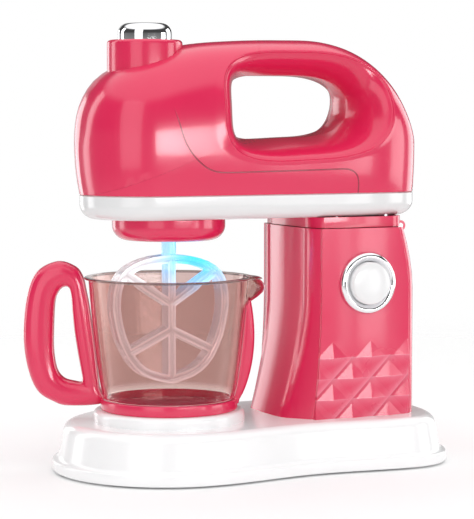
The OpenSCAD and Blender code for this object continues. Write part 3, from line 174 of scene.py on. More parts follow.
def size(name):
    """One of the sizes, in millimetres."""
    return getattr(bpy.context.scene.mixer_sizes, name) / MM


def colour(name):
    """One of the colours, opaque."""
    return tuple(getattr(bpy.context.scene.mixer_colours, name)) + (1,)


# Curves and meshes


def curve_through(points, steps, closed=False):
    """Points on a smooth curve through the given ones, with so many steps from one to the next."""
    count = len(points)

    def pick(i):
        return Vector(points[i % count] if closed else points[min(max(i, 0), count - 1)])

    run = []
    for i in range(count if closed else count - 1):
        a, b, c, d = (pick(i + k) for k in (-1, 0, 1, 2))
        for k in range(steps):
            t = k / steps
            square, cube = (2 * a - 5 * b + 4 * c - d) / 2, (3 * b - a - 3 * c + d) / 2
            run.append(b + t * (c - a) / 2 + t**2 * square + t**3 * cube)
    return run if closed else run + [pick(count - 1)]


def read_curve(curve, x):
    """Height of a curve of (x, height) points at x."""
    if x <= curve[0][0]:
        return curve[0][1]
    for (x0, y0), (x1, y1) in zip(curve, curve[1:]):
        if x <= x1:
            return y0 + (y1 - y0) * (x - x0) / max(x1 - x0, 1e-9)
    return curve[-1][1]


def arc(centre, radius, start, end, steps=8):
    """Points of an arc, with its ends, from one angle to another."""
    angles = [math.radians(start + (end - start) * k / steps) for k in range(steps + 1)]
    return [(centre[0] + radius * math.cos(a), centre[1] + radius * math.sin(a)) for a in angles]


def power(value, exponent):
    """A power that keeps the sign."""
    return math.copysign(abs(value) ** exponent, value)


def squared_turn(steps, exponent, span=math.tau):
    """Points about a centre, at 1 along both axes: a circle for exponent 1, and squarer for less."""
    turns = [span * k / steps for k in range(steps + 1)]
    return [(power(math.cos(a), exponent), power(math.sin(a), exponent)) for a in turns]


def both_sides(half):
    """A half outline that starts and ends on the centre line, with its mirror image."""
    return half + [(x, -y) for x, y in reversed(half[1:-1])]


def bridged(rings, cyclic=False, capped=False):
    """A mesh through closed rings of points, each bridged to the next."""
    bm = bmesh.new()
    loops = []
    for ring in rings:
        verts = [bm.verts.new(point) for point in ring]
        loops.append([bm.edges.new(pair) for pair in zip(verts, verts[1:] + verts[:1])])
    for near, far in zip(loops, loops[1:] + loops[:1] if cyclic else loops[1:]):
        bmesh.ops.bridge_loops(bm, edges=near + far)
    if capped:
        for loop in (loops[0], loops[-1]):
            bmesh.ops.edgeloop_fill(bm, edges=loop)
    bmesh.ops.recalc_face_normals(bm, faces=bm.faces)
    return bm


def spun(profile, steps=128, closed=True):
    """A round mesh about Z from a profile of (radius, height) points."""
    bm = bmesh.new()
    verts = [bm.verts.new((radius, 0, height)) for radius, height in profile]
    edges = [bm.edges.new(pair) for pair in zip(verts, verts[1:] + verts[:1] if closed else verts[1:])]
    bmesh.ops.spin(
        bm, geom=verts + edges, axis=(0, 0, 1), cent=(0, 0, 0), angle=math.tau, steps=steps, use_merge=True)
    bmesh.ops.remove_doubles(bm, verts=bm.verts, dist=1e-4)
    bmesh.ops.recalc_face_normals(bm, faces=bm.faces)
    return bm


def moved(bm, matrix):
    """The same mesh in another place."""
    bmesh.ops.transform(bm, matrix=matrix, verts=bm.verts)
    return bm


def merged_copy(node, whole_faces=True):
    """The mesh of a CAD node in draft measures, with its triangles joined up again."""
    bm = bmesh.new()
    bm.from_mesh(frame["nodes"][node].data)
    moved(bm, TO_DRAFT)
    bmesh.ops.remove_doubles(bm, verts=bm.verts, dist=1e-3)
    if whole_faces:
        bmesh.ops.dissolve_limit(bm, angle_limit=math.radians(0.05), verts=bm.verts, edges=bm.edges)
    return bm


def body_of(node):
    """The rigid body that a CAD node belongs to."""
    bodies = frame["record"]["behaviour"]["bodies"]
    return next(body for body, nodes in bodies.items() if node in nodes)


def slot_of(node):
    """The material slot of a CAD node."""
    parts = frame["record"]["subparts"]
    return next(part["material_slot"] for part in parts if part["node"] == node)


def finished(name, bm, node, material, bevel=0, bevel_angle=35, sharp=40):
    """Makes the piece that stands for a node: places it, and gives it its body and material."""
    moved(bm, TO_FRAME)
    mesh = bpy.data.meshes.new(name)
    bm.to_mesh(mesh)
    bm.free()
    mesh.materials.append(material)
    mesh.shade_smooth()
    mesh.set_sharp_from_angle(angle=math.radians(sharp))
    piece = bpy.data.objects.new(name, mesh)
    bpy.context.scene.collection.objects.link(piece)
    if bevel:
        edge = piece.modifiers.new("edges", "BEVEL")
        edge.width = bevel * MM
        edge.segments = 3
        edge.angle_limit = math.radians(bevel_angle)
        edge.harden_normals = True
        edge.use_clamp_overlap = True
    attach(piece, body_of(node))
    slot_of(node)
    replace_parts(piece, node)
    return piece


def cut(piece, cutter_bm):
    """Takes a shape out of a piece for good."""
    mesh = bpy.data.meshes.new("cutter")
    moved(cutter_bm, TO_FRAME).to_mesh(mesh)
    cutter_bm.free()
    cutter = bpy.data.objects.new("cutter", mesh)
    bpy.context.scene.collection.objects.link(cutter)
    trim = piece.modifiers.new("trim", "BOOLEAN")
    trim.operation, trim.solver, trim.object = "DIFFERENCE", "EXACT", cutter
    shown = bpy.context.evaluated_depsgraph_get()
    result = bpy.data.meshes.new_from_object(piece.evaluated_get(shown))
    piece.modifiers.remove(trim)
    piece.data = result
    bpy.data.objects.remove(cutter)


# Materials


class Value:
    """A shader socket whose sums, products and powers add Math nodes."""

    def __init__(self, shader, socket):
        self.shader, self.socket = shader, socket

    def maths(self, operation, *operands):
        return self.shader.value("ShaderNodeMath", {"operation": operation}, dict(enumerate(operands)))

    def __add__(self, other):
        return self.maths("ADD", self, other)

    def __sub__(self, other):
        return self.maths("SUBTRACT", self, other)

    def __rsub__(self, other):
        return self.maths("SUBTRACT", other, self)

    def __mul__(self, other):
        return self.maths("MULTIPLY", self, other)

    def __truediv__(self, other):
        return self.maths("DIVIDE", self, other)

    def __pow__(self, other):
        return self.maths("POWER", self, other)

    __radd__ = __add__
    __rmul__ = __mul__

    def magnitude(self):
        return self.maths("ABSOLUTE", self)

    def nearest(self):
        return self.maths("ROUND", self)

    def whole(self):
        return self.maths("FLOOR", self)

    def either(self, other):
        return self.maths("MAXIMUM", self, other)

    def between(self, low, high):
        """From 0 at low to 1 at high, smoothly, and level outside."""
        sockets = {"Value": self, "From Min": low, "From Max": high}
        return self.shader.value("ShaderNodeMapRange", {"interpolation_type": "SMOOTHSTEP"}, sockets)


class Network:
    """The nodes of a material or a world."""

    def __init__(self, owner):
        owner.use_nodes = True
        self.tree = owner.node_tree

    def add(self, kind, settings=None, sockets=None, output=0):
        """Adds a node, then its settings, then the values and links of its sockets."""
        node = self.tree.nodes.new(kind)
        for key, value in (settings or {}).items():
            setattr(node, key, value)
        for key, value in (sockets or {}).items():
            self.feed(node.inputs[key], value)
        return node.outputs[output]

    def value(self, kind, settings=None, sockets=None, output=0):
        """Adds a node whose output takes part in sums."""
        return Value(self, self.add(kind, settings, sockets, output))

    def feed(self, socket, value):
        """Gives a socket a number, a colour or a link."""
        value = value.socket if isinstance(value, Value) else value
        if isinstance(value, bpy.types.NodeSocket):
            self.tree.links.new(value, socket)
        else:
            socket.default_value = value

    def mix(self, factor, first, second):
        settings = {"data_type": "RGBA", "clamp_factor": True}
        return self.add("ShaderNodeMix", settings, {0: factor, 6: first, 7: second}, 2)


class Shader(Network):
    """A material and the nodes that make its finish."""

    def __init__(self, name, material=None):
        self.material = material or bpy.data.materials.new(name)
        super().__init__(self.material)
        self.surface = self.tree.nodes["Principled BSDF"]

    def place(self, scale=(1, 1, 1), at=(0, 0, 0)):
        """Object coordinates about a point, scaled."""
        coords = self.add("ShaderNodeTexCoord", output="Object")
        centred = self.add("ShaderNodeVectorMath", {"operation": "SUBTRACT"}, {0: coords, 1: at})
        return self.add("ShaderNodeMapping", {"vector_type": "POINT"}, {"Vector": centred, "Scale": scale})

    def noise(self, scale, detail=2, stretch=(1, 1, 1)):
        sockets = {"Vector": self.place(stretch), "Scale": scale, "Detail": detail}
        return self.value("ShaderNodeTexNoise", {"noise_dimensions": "3D"}, sockets, "Fac")

    def attribute(self, name):
        return self.value("ShaderNodeAttribute", {"attribute_name": name}, output="Fac")

    def distance(self, at):
        """How far a point of the surface is from another."""
        return self.value("ShaderNodeVectorMath", {"operation": "LENGTH"}, {0: self.place(at=at)}, "Value")

    def height(self):
        return self.value("ShaderNodeSeparateXYZ", None, {0: self.place()}, "Z")

    def bump(self, height, depth, normal=None):
        """A normal from a height between 0 and 1, over a depth in millimetres."""
        sockets = {"Height": height, "Strength": 1, "Distance": depth * MM}
        if normal is not None:
            sockets["Normal"] = normal
        return self.add("ShaderNodeBump", None, sockets)

    def lets_light_through(self, tint, more=0):
        """Shades what lies behind the surface with a tint, where the surface itself would stop the light."""
        path = self.add("ShaderNodeLightPath").node.outputs
        reflected = Value(self, path["Is Glossy Ray"]) * (1 - Value(self, path["Is Transmission Ray"]))
        through = reflected.either(path["Is Shadow Ray"]).either(path["Is Diffuse Ray"]).either(more)
        clear = self.add("ShaderNodeBsdfTransparent", None, {"Color": tint})
        both = self.add("ShaderNodeMixShader", None, {0: through, 1: self.surface.outputs[0], 2: clear})
        self.feed(self.tree.nodes["Material Output"].inputs["Surface"], both)
        return self.material

    def wear(self, **values):
        """Sets sockets of the surface by name, with _ for a space."""
        for key, value in values.items():
            self.feed(self.surface.inputs[key.replace("_", " ")], value)
        return self.material


def tone(base, share):
    """A colour made darker."""
    return tuple(channel * share for channel in base[:3]) + (1,)


# The parting line, in millimetres: half width of its core, fade from its front end, depth of the line, and
# the step of the skin across it with half the step's width
SEAM_CORE = 0.15
SEAM_FADE = 14
SEAM_DEPTH = 0.3
SEAM_STEP = 0.12
SEAM_STEP_HALF = 0.7
SKIN_GRAIN = 0.006


def glossy(name, base, rough=0.22, coat=0.5, seam=False, glow=0):
    """Moulded glossy plastic: faint flow clouds, a fine skin, an even painted glow that lifts its shade
    where one is asked for, and a parting line.

    The parting line shows only where the mesh stores how far each vertex lies from it.
    """
    shader = Shader(name)
    flow = shader.noise(38, 3, (1, 1, 0.5))
    skin = shader.noise(2600, 2)
    smear = shader.noise(95, 3)
    shade = shader.mix(flow * 0.5, base, tone(base, 0.86))
    normal = shader.bump(skin, SKIN_GRAIN)
    if seam:
        offset, along = shader.attribute("seam_offset"), shader.attribute("seam_along").between(0, SEAM_FADE)
        on_line = along * (1 - offset.magnitude().between(SEAM_CORE, size("seam_half")))
        shade = shader.mix(on_line, shade, tone(base, 0.4))
        groove = shader.bump(1 - on_line, SEAM_DEPTH, normal)
        normal = shader.bump(along * offset.between(-SEAM_STEP_HALF, SEAM_STEP_HALF), SEAM_STEP, groove)
    # glow is emission that stands in for light: it brightens a part that is no lamp
    return shader.wear(
        Base_Color=shade, Roughness=smear * 0.08 + (rough - 0.04), Coat_Weight=coat, Coat_Roughness=0.09,
        IOR=1.5, Normal=normal, Emission_Color=base, Emission_Strength=glow)


# The pyramids on the side panels: a middle, half a base's length, the lowest row, the step between rows,
# where the carved rows end in rows from the lowest, and how far above that the plastic stays duller
PYRAMID_X = 104.5
PYRAMID_HALF = 11.7
PYRAMID_Z = 25.98
PYRAMID_STEP = 11.35
CARVED_ROWS = 3
DULL_ROWS = 1.2
# The colour of the painted highlights along the pyramids' ridges and valleys
PAINTED_HIGHLIGHT_PINK = (0.95, 0.4, 0.5, 1)


def faceted(name, base):
    """Glossy plastic with painted highlights on its pyramids, paler towards their ridges and valleys, and
    painted shade along one side of each valley.
    """
    material = glossy(name, base)
    shader = Shader(name, material)
    origin = TO_FRAME @ Vector((PYRAMID_X, 0, PYRAMID_Z))
    split = shader.add("ShaderNodeSeparateXYZ", None, {0: shader.place(at=origin)}).node.outputs
    across = Value(shader, split["X"]) / (PYRAMID_HALF * MM)
    rows = Value(shader, split["Z"]) / (PYRAMID_STEP * MM)
    ridge = (rows - rows.nearest()).magnitude()
    slant = (across - rows) / 2
    valley = (slant - slant.nearest()).magnitude() * 1.4
    # Painted highlight lines along the ridges and valleys
    lines = (1 - ridge.between(0, 0.05)).either(1 - valley.between(0, 0.05))
    rising = (rows - rows.whole()) ** 3
    leaning = slant - slant.whole()
    carved = 1 - rows.between(CARVED_ROWS + 0.03, CARVED_ROWS + 0.06)
    duller = 1 - rows.between(CARVED_ROWS, CARVED_ROWS + DULL_ROWS)
    shade, rough = (shader.surface.inputs[key].links[0].from_socket for key in ("Base Color", "Roughness"))
    # Painted shade along one side of each valley, then painted highlights on the lines and in gradients
    # across each face
    painted_shade = shader.mix((1 - leaning) ** 8 * carved * 0.5, shade, tone(base, 0.6))
    painted_highlight = lines.either(rising * 0.8).either(leaning ** 5) * carved * 0.4
    return shader.wear(
        Base_Color=shader.mix(painted_highlight, painted_shade, PAINTED_HIGHLIGHT_PINK), Roughness=Value(shader, rough) + duller * 0.06,
        Coat_Weight=0.5 - duller * 0.25)


def satin(name, base, rough=0.5, scale=1500, grain=0.02):
    """Moulded plastic with a fine sparked grain."""
    shader = Shader(name)
    spark = shader.noise(scale, 4)
    cloud = shader.noise(60, 2)
    return shader.wear(
        Base_Color=shader.mix(cloud * 0.6, base, tone(base, 0.85)), Roughness=spark * 0.16 + (rough - 0.08),
        Normal=shader.bump(spark, grain))


def plated(name, base, rough):
    """Bright plating on plastic, with faint handling marks."""
    shader = Shader(name)
    marks = shader.noise(140, 4)
    ripple = shader.noise(30, 1)
    return shader.wear(
        Base_Color=shader.mix(marks * 0.3, base, tone(base, 0.8)), Metallic=1.0,
        Roughness=marks * 0.06 + (rough - 0.02), Normal=shader.bump(ripple, 0.03))


def metal(name, base, rough=0.32, stretch=(1, 1, 14)):
    """Drawn or turned metal, with fine lines across its length."""
    shader = Shader(name)
    lines = shader.noise(420, 3, stretch)
    tarnish = shader.noise(110, 3)
    return shader.wear(
        Base_Color=shader.mix(tarnish * 0.5, base, tone(base, 0.7)), Metallic=1.0,
        Roughness=lines * 0.2 + (rough - 0.08), Normal=shader.bump(lines, 0.012))


def smoky_clear(name, tint):
    """Clear plastic with a smoky wall, painted shade along the lip, faint flow lines and a clearer floor."""
    shader = Shader(name)
    flow = shader.noise(26, 2, (1, 1, 0.25))
    shade = shader.mix(flow * 0.4, tint, tone(tint, 0.9))
    height = shader.height()

    def rising(low, high):
        return height.between(low * MM, high * MM)

    # Painted shade along the lip, standing in for the dark edge of the clear plastic seen end on
    shade = shader.mix(rising(BOWL.top - 1.6, BOWL.top - 0.8), shade, tone(tint, 0.45))
    shade = shader.mix(rising(BOWL.bottom + 4, BOWL.bottom + 9), (1, 0.96, 0.95, 1), shade)
    floor = 1 - rising(BOWL.bottom + 1.9, BOWL.bottom + 2.6)
    shader.wear(
        Base_Color=shade, Roughness=shader.noise(70, 2) * 0.04 + 0.02, Transmission_Weight=1.0, IOR=1.25,
        Specular_IOR_Level=0.6, Normal=shader.bump(flow, 0.05))
    return shader.lets_light_through((0.98, 0.96, 0.955, 1), floor * 0.9)


# The painted light of the lamp under the head, on the beater: how far below its lens it is centred, and
# where it starts and stops to fade
LAMP_DROP = 6
LAMP_CORE = 4
LAMP_REACH = 34


def milky(name, base, glow):
    """Translucent plastic with the light of the lamp under the head painted on near its top, an even painted
    glow and painted highlights on its rims.
    """
    shader = Shader(name)
    lamp = TO_FRAME @ Vector((LENS.mid, 0, LENS.bottom - LAMP_DROP))
    painted_lamp_light = (1 - shader.distance(lamp).between(LAMP_CORE * MM, LAMP_REACH * MM)) ** 1.6
    cloud = shader.noise(80, 3)
    shade = shader.mix(cloud * 0.4, base, tone(base, 0.92))
    # Painted glow all over, brighter as a painted highlight on the rims
    painted_glow_and_rim_highlight = shader.mix(shader.attribute("rim"), tone(base, 0.08), tone(base, 0.32))
    return shader.wear(
        Base_Color=shader.mix(painted_lamp_light * 0.9, shade, glow), Roughness=cloud * 0.08 + 0.06,
        Transmission_Weight=0.7, IOR=1.3, Emission_Color=shader.mix(painted_lamp_light, painted_glow_and_rim_highlight, glow),
        Emission_Strength=1.0, Normal=shader.bump(cloud, 0.05))


def lamp_clear(name, base, strength):
    """Clear plastic that glows."""
    shader = Shader(name)
    facet = shader.noise(900, 2)
    return shader.wear(
        Base_Color=shader.mix(facet * 0.4, base, tone(base, 0.8)), Roughness=facet * 0.1 + 0.05,
        Transmission_Weight=0.5, Emission_Color=base, Emission_Strength=strength,
        Normal=shader.bump(facet, 0.02))


# One finish for each material slot of the record
FINISHES = {}


def finish(slot):
    """The material of a slot, made once."""
    if slot not in FINISHES:
        FINISHES[slot] = {
            "pink_shell": lambda: glossy("pink_plastic", colour("pink")),
            "pink_facets": lambda: faceted("pink_facets", colour("pink")),
            # The white shell has a faint painted glow that lifts its shaded parts
            "white_shell": lambda: glossy("white_plastic", colour("white"), 0.22, 0.4, glow=0.07),
            "white_band": lambda: glossy("white_band_plastic", tone(colour("white"), 0.9), 0.22, 0.4),
            "white_under": lambda: satin("white_satin", colour("white"), 0.42),
            "white_button": lambda: glossy("button_plastic", tone(colour("white"), 0.97), 0.26, 0.3),
            "smoky_clear": lambda: smoky_clear("smoky_plastic", colour("smoke")),
            "milky_clear": lambda: milky("milky_plastic", colour("milk"), colour("glow")),
            "chrome_plated": lambda: plated("bright_plating", (0.88, 0.88, 0.9, 1), 0.06),
            "switch_black": lambda: satin("switch_plastic", (0.02, 0.02, 0.022, 1), 0.45),
            "foot_rubber": lambda: satin("foot_rubber", (0.3, 0.31, 0.33, 1), 0.75, 700, 0.05),
            "screw_steel": lambda: metal("screw_steel", (0.55, 0.55, 0.58, 1), 0.3),
            "contact_steel": lambda: metal("contact_steel", (0.6, 0.6, 0.6, 1), 0.28, (14, 1, 1)),
            "cell_wrap": lambda: glossy("cell_wrap", (0.02, 0.16, 0.12, 1), 0.3, 0.2),
            "pin_steel": lambda: metal("pin_steel", (0.62, 0.62, 0.64, 1), 0.2),
            "wire_red": lambda: satin("wire_sleeve", (0.45, 0.01, 0.012, 1), 0.4, 900),
            "lens_clear": lambda: lamp_clear("lens_clear", (0.75, 0.9, 1, 1), 1.2),
            "bulb_blue": lambda: lamp_clear("bulb_blue", (0.1, 0.35, 0.9, 1), 3),
            "bush_grey": lambda: satin("bush_plastic", (0.3, 0.3, 0.32, 1), 0.5),
            "gear_nylon": lambda: satin("gear_nylon", (0.78, 0.76, 0.68, 1), 0.4, 1100),
            "pinion_brass": lambda: metal("pinion_brass", (0.72, 0.5, 0.18, 1), 0.3),
            "plate_grey": lambda: satin("plate_plastic", (0.12, 0.125, 0.13, 1), 0.5),
            "motor_can": lambda: metal("motor_can", (0.5, 0.5, 0.52, 1), 0.34, (1, 1, 6)),
            "spring_steel": lambda: metal("spring_steel", (0.58, 0.58, 0.6, 1), 0.22),
        }[slot]()
    return FINISHES[slot]


# Base

# Where the rear's round corners start and how square they are, the waist's place, and both half widths
REAR_START = 118
REAR_POWER = 0.8
WAIST_X = 66
WAIST_HALF = 56
REAR_HALF = 60
# The rim round the foot: how far it stands out, its height, the blend above it and its edge's radius
RIM_STEP = 3.8
RIM_H = 7
RIM_BLEND = 3.5
RIM_EDGE = 1.2
WALL_LEAN = 2
# The disc: radius of its stem through the base, and its raised hub's radius, height, edge and free ring
SEAT_STEM_R = 7
SEAT_HUB_R = 18
SEAT_HUB_H = 1.2
SEAT_HUB_EDGE = 0.5
HUB_GAP = 0.3
SEAT_Z = SEAT.top - SEAT_HUB_H


def eased(share):
    """From 0 at 0 to 1 at 1, level at both ends."""
    return (1 - math.cos(math.pi * share)) / 2


def base_side(x):
    """Half width of the base along its length."""
    if x > WAIST_X:
        return WAIST_HALF + (REAR_HALF - WAIST_HALF) * eased((x - WAIST_X) / (REAR_START - WAIST_X))
    return WAIST_HALF + (-BASE.front - WAIST_HALF) * eased(1 - x / WAIST_X)


def base_outline(inset):
    """Outline of the base in plan, drawn in."""
    reach, half, front_r = BASE.rear - inset - REAR_START, REAR_HALF - inset, -BASE.front - inset
    rear = [(REAR_START + reach * c, half * s) for c, s in squared_turn(28, REAR_POWER, math.pi / 2)]
    side = [(x, base_side(x) - inset) for x in (REAR_START * (1 - k / 40) for k in range(1, 40))]
    front = [(-front_r * s, front_r * c) for c, s in squared_turn(28, 1, math.pi / 2)]
    rear[0], front[-1] = (rear[0][0], 0), (front[-1][0], 0)
    return both_sides(rear + side + front)


def base_mesh():
    """The base as a shell open below: up the wall's inside, out under the rim and over the top."""
    wall, edge = size("shell_wall"), size("base_round")
    lean = RIM_STEP + WALL_LEAN
    inside = [(lean + edge, BASE.top - wall), (lean + wall, BASE.top - edge),
              (RIM_STEP + wall, RIM_H + RIM_BLEND), (RIM_EDGE + wall, RIM_H - wall / 2),
              (RIM_EDGE + wall, BASE.bottom)]
    rim = arc((RIM_EDGE, BASE.bottom + RIM_EDGE), RIM_EDGE, 270, 180, 4)
    rim += arc((RIM_EDGE, RIM_H - RIM_EDGE), RIM_EDGE, 180, 90, 4)
    blend = [tuple(p) for p in curve_through([
        (RIM_EDGE + 0.4, RIM_H), (RIM_STEP - 0.7, RIM_H + RIM_BLEND * 0.35), (RIM_STEP, RIM_H + RIM_BLEND),
        (lean, BASE.top - edge)], 4)][1:-1]
    top = arc((lean + edge, BASE.top - edge), edge, 180, 90, 8)
    rings = [[(x, y, z) for x, y in base_outline(inset)] for inset, z in inside + rim + blend + top]
    return bridged(rings, capped=True)


def seat_mesh():
    """The disc under the bowl, with its stem and the hub that centres the bowl's frame."""
    r, edge = SEAT.rear, size("seat_round")
    stem = [(0, SEAT.bottom), (SEAT_STEM_R, SEAT.bottom), (SEAT_STEM_R, BASE.top), (r, BASE.top)]
    disc = arc((r - edge, SEAT_Z - edge), edge, 0, 90) + [(SEAT_HUB_R + HUB_GAP, SEAT_Z)]
    hub = arc((SEAT_HUB_R - SEAT_HUB_EDGE, SEAT.top - SEAT_HUB_EDGE), SEAT_HUB_EDGE, 0, 90, 3)
    return spun(stem + disc + hub + [(0, SEAT.top)], closed=False)


class MIXER_OT_base(bpy.types.Operator):
    """Builds the white base and the disc that the bowl stands on"""

    bl_idname = "mixer.base"
    bl_label = "Base and bowl seat"

    def execute(self, context):
        finished("base_body", base_mesh(), "base_shell", finish("white_shell"))
        finished("seat_disc", seat_mesh(), "bowl_seat", finish("white_shell"))
        return {"FINISHED"}


# Bowl and its frame

# How far the handle is turned from -X towards the far side, in degrees
HANDLE_TURN = 25
TO_BOWL = Matrix.Rotation(math.radians(180 - HANDLE_TURN), 4, "Z")
# The bowl: radius of its wall at the foot and at the lip, the wall's curve, and the lip's reach and height
FOOT_R = 35
LIP_R = 43.5
BOWL_CURVE = 0.62
LIP_W = 2.2
LIP_H = 1.2
# The frame's ring: radius, height, thickness of its floor, its edge, and the room over the seat's hub
RING_R = 37.2
RING_H = 5.8
RING_FLOOR = 2
RING_EDGE = 0.8
HUB_ROOM = 1.35
GAP = 0.3
# The spout: how far it stands out from the wall by height below the rim, and its half angle
SPOUT = [(-16, 0), (-13, 2.5), (-10.3, 6.6), (-6.6, 9.6), (-4, 8.6), (-1.2, 5.6), (0, 3.4)]
SPOUT_ANGLE = 15
# The spine: how far it stands out at most, and how far under the rim it ends
SPINE_PROUD = 6
SPINE_DROP = 12


def bowl_side(z):
    """Outside radius of the bowl's wall by height."""
    low, high = SEAT_Z + RING_H, BOWL.top - LIP_H
    return FOOT_R + (LIP_R - FOOT_R) * max(0, (z - low) / (high - low)) ** BOWL_CURVE


def bowl_mesh():
    """The bowl with its lip, drawn out into a spout opposite the handle."""
    wall = size("bowl_wall")
    low, high = SEAT_Z + RING_H + GAP, BOWL.top - LIP_H
    heights = [low + (high - low) * (k / 36) ** 1.4 for k in range(37)]
    foot = FOOT_R - 1
    outside = [(0, BOWL.bottom), (foot - 0.6, BOWL.bottom), (foot, BOWL.bottom + 0.6), (foot, low - 0.2)]
    outside += [(bowl_side(z), z) for z in heights]
    lip = arc((LIP_R + LIP_W - LIP_H / 2, BOWL.top - LIP_H / 2), LIP_H / 2, -90, 90, 6)
    inside = [(bowl_side(z) - wall, z) for z in reversed(heights)]
    bottom = BOWL.bottom + wall
    floor = [(foot - wall, bottom + 1), (foot - wall - 1, bottom), (0, bottom)]
    bm = spun(outside + lip + [(LIP_R - wall + 0.3, BOWL.top)] + inside + floor, 144, closed=False)
    for vert in bm.verts:
        turn = abs(math.degrees(math.atan2(vert.co.y, -vert.co.x)))
        out = read_curve(SPOUT, vert.co.z - BOWL.top)
        share = math.cos(math.radians(90 * min(1, turn / SPOUT_ANGLE))) ** 1.5
        vert.co.xy *= 1 + out * share / max(vert.co.xy.length, 1)
    return moved(bm, TO_BOWL)


def ring_mesh():
    """The ring round the bowl's foot, with its floor."""
    foot, hub = FOOT_R - 1 + 0.15, SEAT_HUB_R + HUB_GAP
    under = [(hub, SEAT_Z + HUB_ROOM), (hub, SEAT_Z)]
    side = arc((RING_R - RING_EDGE, SEAT_Z + RING_EDGE), RING_EDGE, -90, 0, 4)
    side += arc((RING_R - RING_EDGE, SEAT_Z + RING_H - RING_EDGE), RING_EDGE, 0, 90, 4)
    inside = [(foot, SEAT_Z + RING_H), (foot, SEAT_Z + RING_FLOOR), (0, SEAT_Z + RING_FLOOR)]
    return spun(under + side + inside + [(0, SEAT_Z + HUB_ROOM)], closed=False)


def spine_mesh():
    """The spine opposite the handle, following the bowl's side."""
    half = size("spine_width") / 2
    bottom, top = SEAT_Z + RING_H / 2, BOWL.top - SPINE_DROP - GAP
    rings = []
    for k in range(31):
        t = (k / 30) ** 1.2
        z = bottom + (top - bottom) * t
        inner = max(bowl_side(z), FOOT_R) + GAP
        proud = SPINE_PROUD * math.sin(math.radians(20 + 150 * t)) ** 0.8
        ring = []
        for a in (math.tau * n / 20 for n in range(-10, 10)):
            back = 0.4 if abs(a) > 1.6 else 0
            out = proud * max(0, power(math.cos(a), 0.8))
            ring.append((-inner - out + back, half * power(math.sin(a), 0.8), z))
        rings.append(ring)
    return bridged(rings, capped=True)


# The handle, outside and finger hole, point against point: shares of its reach and of its height
HANDLE_OUTER_SHARES = [
    (1, 0.49), (0.955, 0.75), (0.826, 0.925), (0.56, 1), (0.33, 0.965), (0.228, 0.895), (0.185, 0.8),
    (0.142, 0.68), (0.09, 0.47), (0.048, 0.28), (0.015, 0.13), (-0.03, 0.02), (0.42, 0), (0.62, 0.03),
    (0.826, 0.105), (0.95, 0.268)]
HANDLE_INNER_SHARES = [
    (0, 0.49), (-0.02, 0.71), (-0.07, 0.79), (-0.14, 0.822), (-0.2, 0.815), (-0.226, 0.765), (-0.24, 0.66),
    (-0.262, 0.53), (-0.308, 0.365), (-0.35, 0.24), (-0.366, 0.185), (-0.34, 0.165), (-0.25, 0.172),
    (-0.13, 0.192), (-0.045, 0.25), (-0.005, 0.36)]
# Its reach from the bowl's axis, height, lift over the seat, width, thickness of the grip, and how square
# its section is
HANDLE_REACH = 78.8
HANDLE_H = 78.6
HANDLE_LIFT = 1.5
HANDLE_D = 15
GRIP_T = 16.5
HANDLE_POWER = 0.77


def handle_mesh():
    """The handle as a closed band round the finger hole."""
    start = FOOT_R + size("bowl_wall")
    reach, foot = HANDLE_REACH - start, SEAT_Z + HANDLE_LIFT

    def edge(shares, origin):
        return curve_through([(origin + reach * s, foot + HANDLE_H * t) for s, t in shares], 6, True)

    outer = edge(HANDLE_OUTER_SHARES, start)
    inner = edge(HANDLE_INNER_SHARES, HANDLE_REACH - GRIP_T)
    section = squared_turn(28, HANDLE_POWER)[:-1]
    rings = []
    for far, near in zip(outer, inner):
        mid, arm = (far + near) / 2, (far - near) / 2
        rings.append([(mid.x + arm.x * c, HANDLE_D / 2 * s, mid.y + arm.y * c) for c, s in section])
    return bridged(rings, cyclic=True)


def joined(*parts):
    """One mesh from several, each freed once it is in."""
    whole = bmesh.new()
    for part in parts:
        holder = bpy.data.meshes.new("part")
        part.to_mesh(holder)
        part.free()
        whole.from_mesh(holder)
        bpy.data.meshes.remove(holder)
    return whole


class MIXER_OT_bowl(bpy.types.Operator):
    """Builds the clear bowl, and the pink frame with its ring, spine and handle"""

    bl_idname = "mixer.bowl"
    bl_label = "Bowl and frame"

    def execute(self, context):
        finished("clear_bowl", bowl_mesh(), "bowl_shell", finish("smoky_clear"), sharp=60)
        handle = handle_mesh()
        inside = [v for v in handle.verts if v.co.xy.length < FOOT_R + GAP and v.co.z > SEAT_Z + RING_H / 2]
        for vert in inside:
            vert.co.xy *= (FOOT_R + GAP) / max(vert.co.xy.length, 1)
        frame_mesh = moved(joined(ring_mesh(), spine_mesh(), handle), TO_BOWL)
        finished("bowl_frame_pink", frame_mesh, "bowl_frame", finish("pink_shell"))
        return {"FINISHED"}


# Beater

# The rims along the bars: width, width of the slope inside them and height over the bar's middle.
# A flat side of the beater is over the least area, in square millimetres.
BAR_RIM = 1.1
BAR_SLOPE = 0.4
BAR_SUNK = 0.5
BAR_LEAST_AREA = 50


def raised_rims(bm):
    """Sinks the middle of every bar on the beater's two flat sides, so that a rim stands along the edges."""
    # Each rim face keeps its share, by which the beater's finish paints highlights on the rims
    rim = bm.faces.layers.float.new("rim")
    for side in (-1, 1):
        flat = [f for f in bm.faces if f.normal.y * side > 0.99 and f.calc_area() > BAR_LEAST_AREA]
        for width, depth, share in ((BAR_RIM, 0, 1), (BAR_SLOPE, -BAR_SUNK, 0.4)):
            edging = bmesh.ops.inset_region(
                bm, faces=flat, thickness=width, depth=depth, use_even_offset=True)
            for face in edging["faces"]:
                face[rim] = share
    return bm


class MIXER_OT_beater(bpy.types.Operator):
    """Gives the beater's loop and ribs raised rims with rounded edges"""

    bl_idname = "mixer.beater"
    bl_label = "Beater"

    def execute(self, context):
        beater = raised_rims(merged_copy("beater"))
        finished("flat_beater", beater, "beater", finish("milky_clear"), size("rib_bevel"), 60)
        return {"FINISHED"}


# Column

COLUMN_FOOT = BASE.top
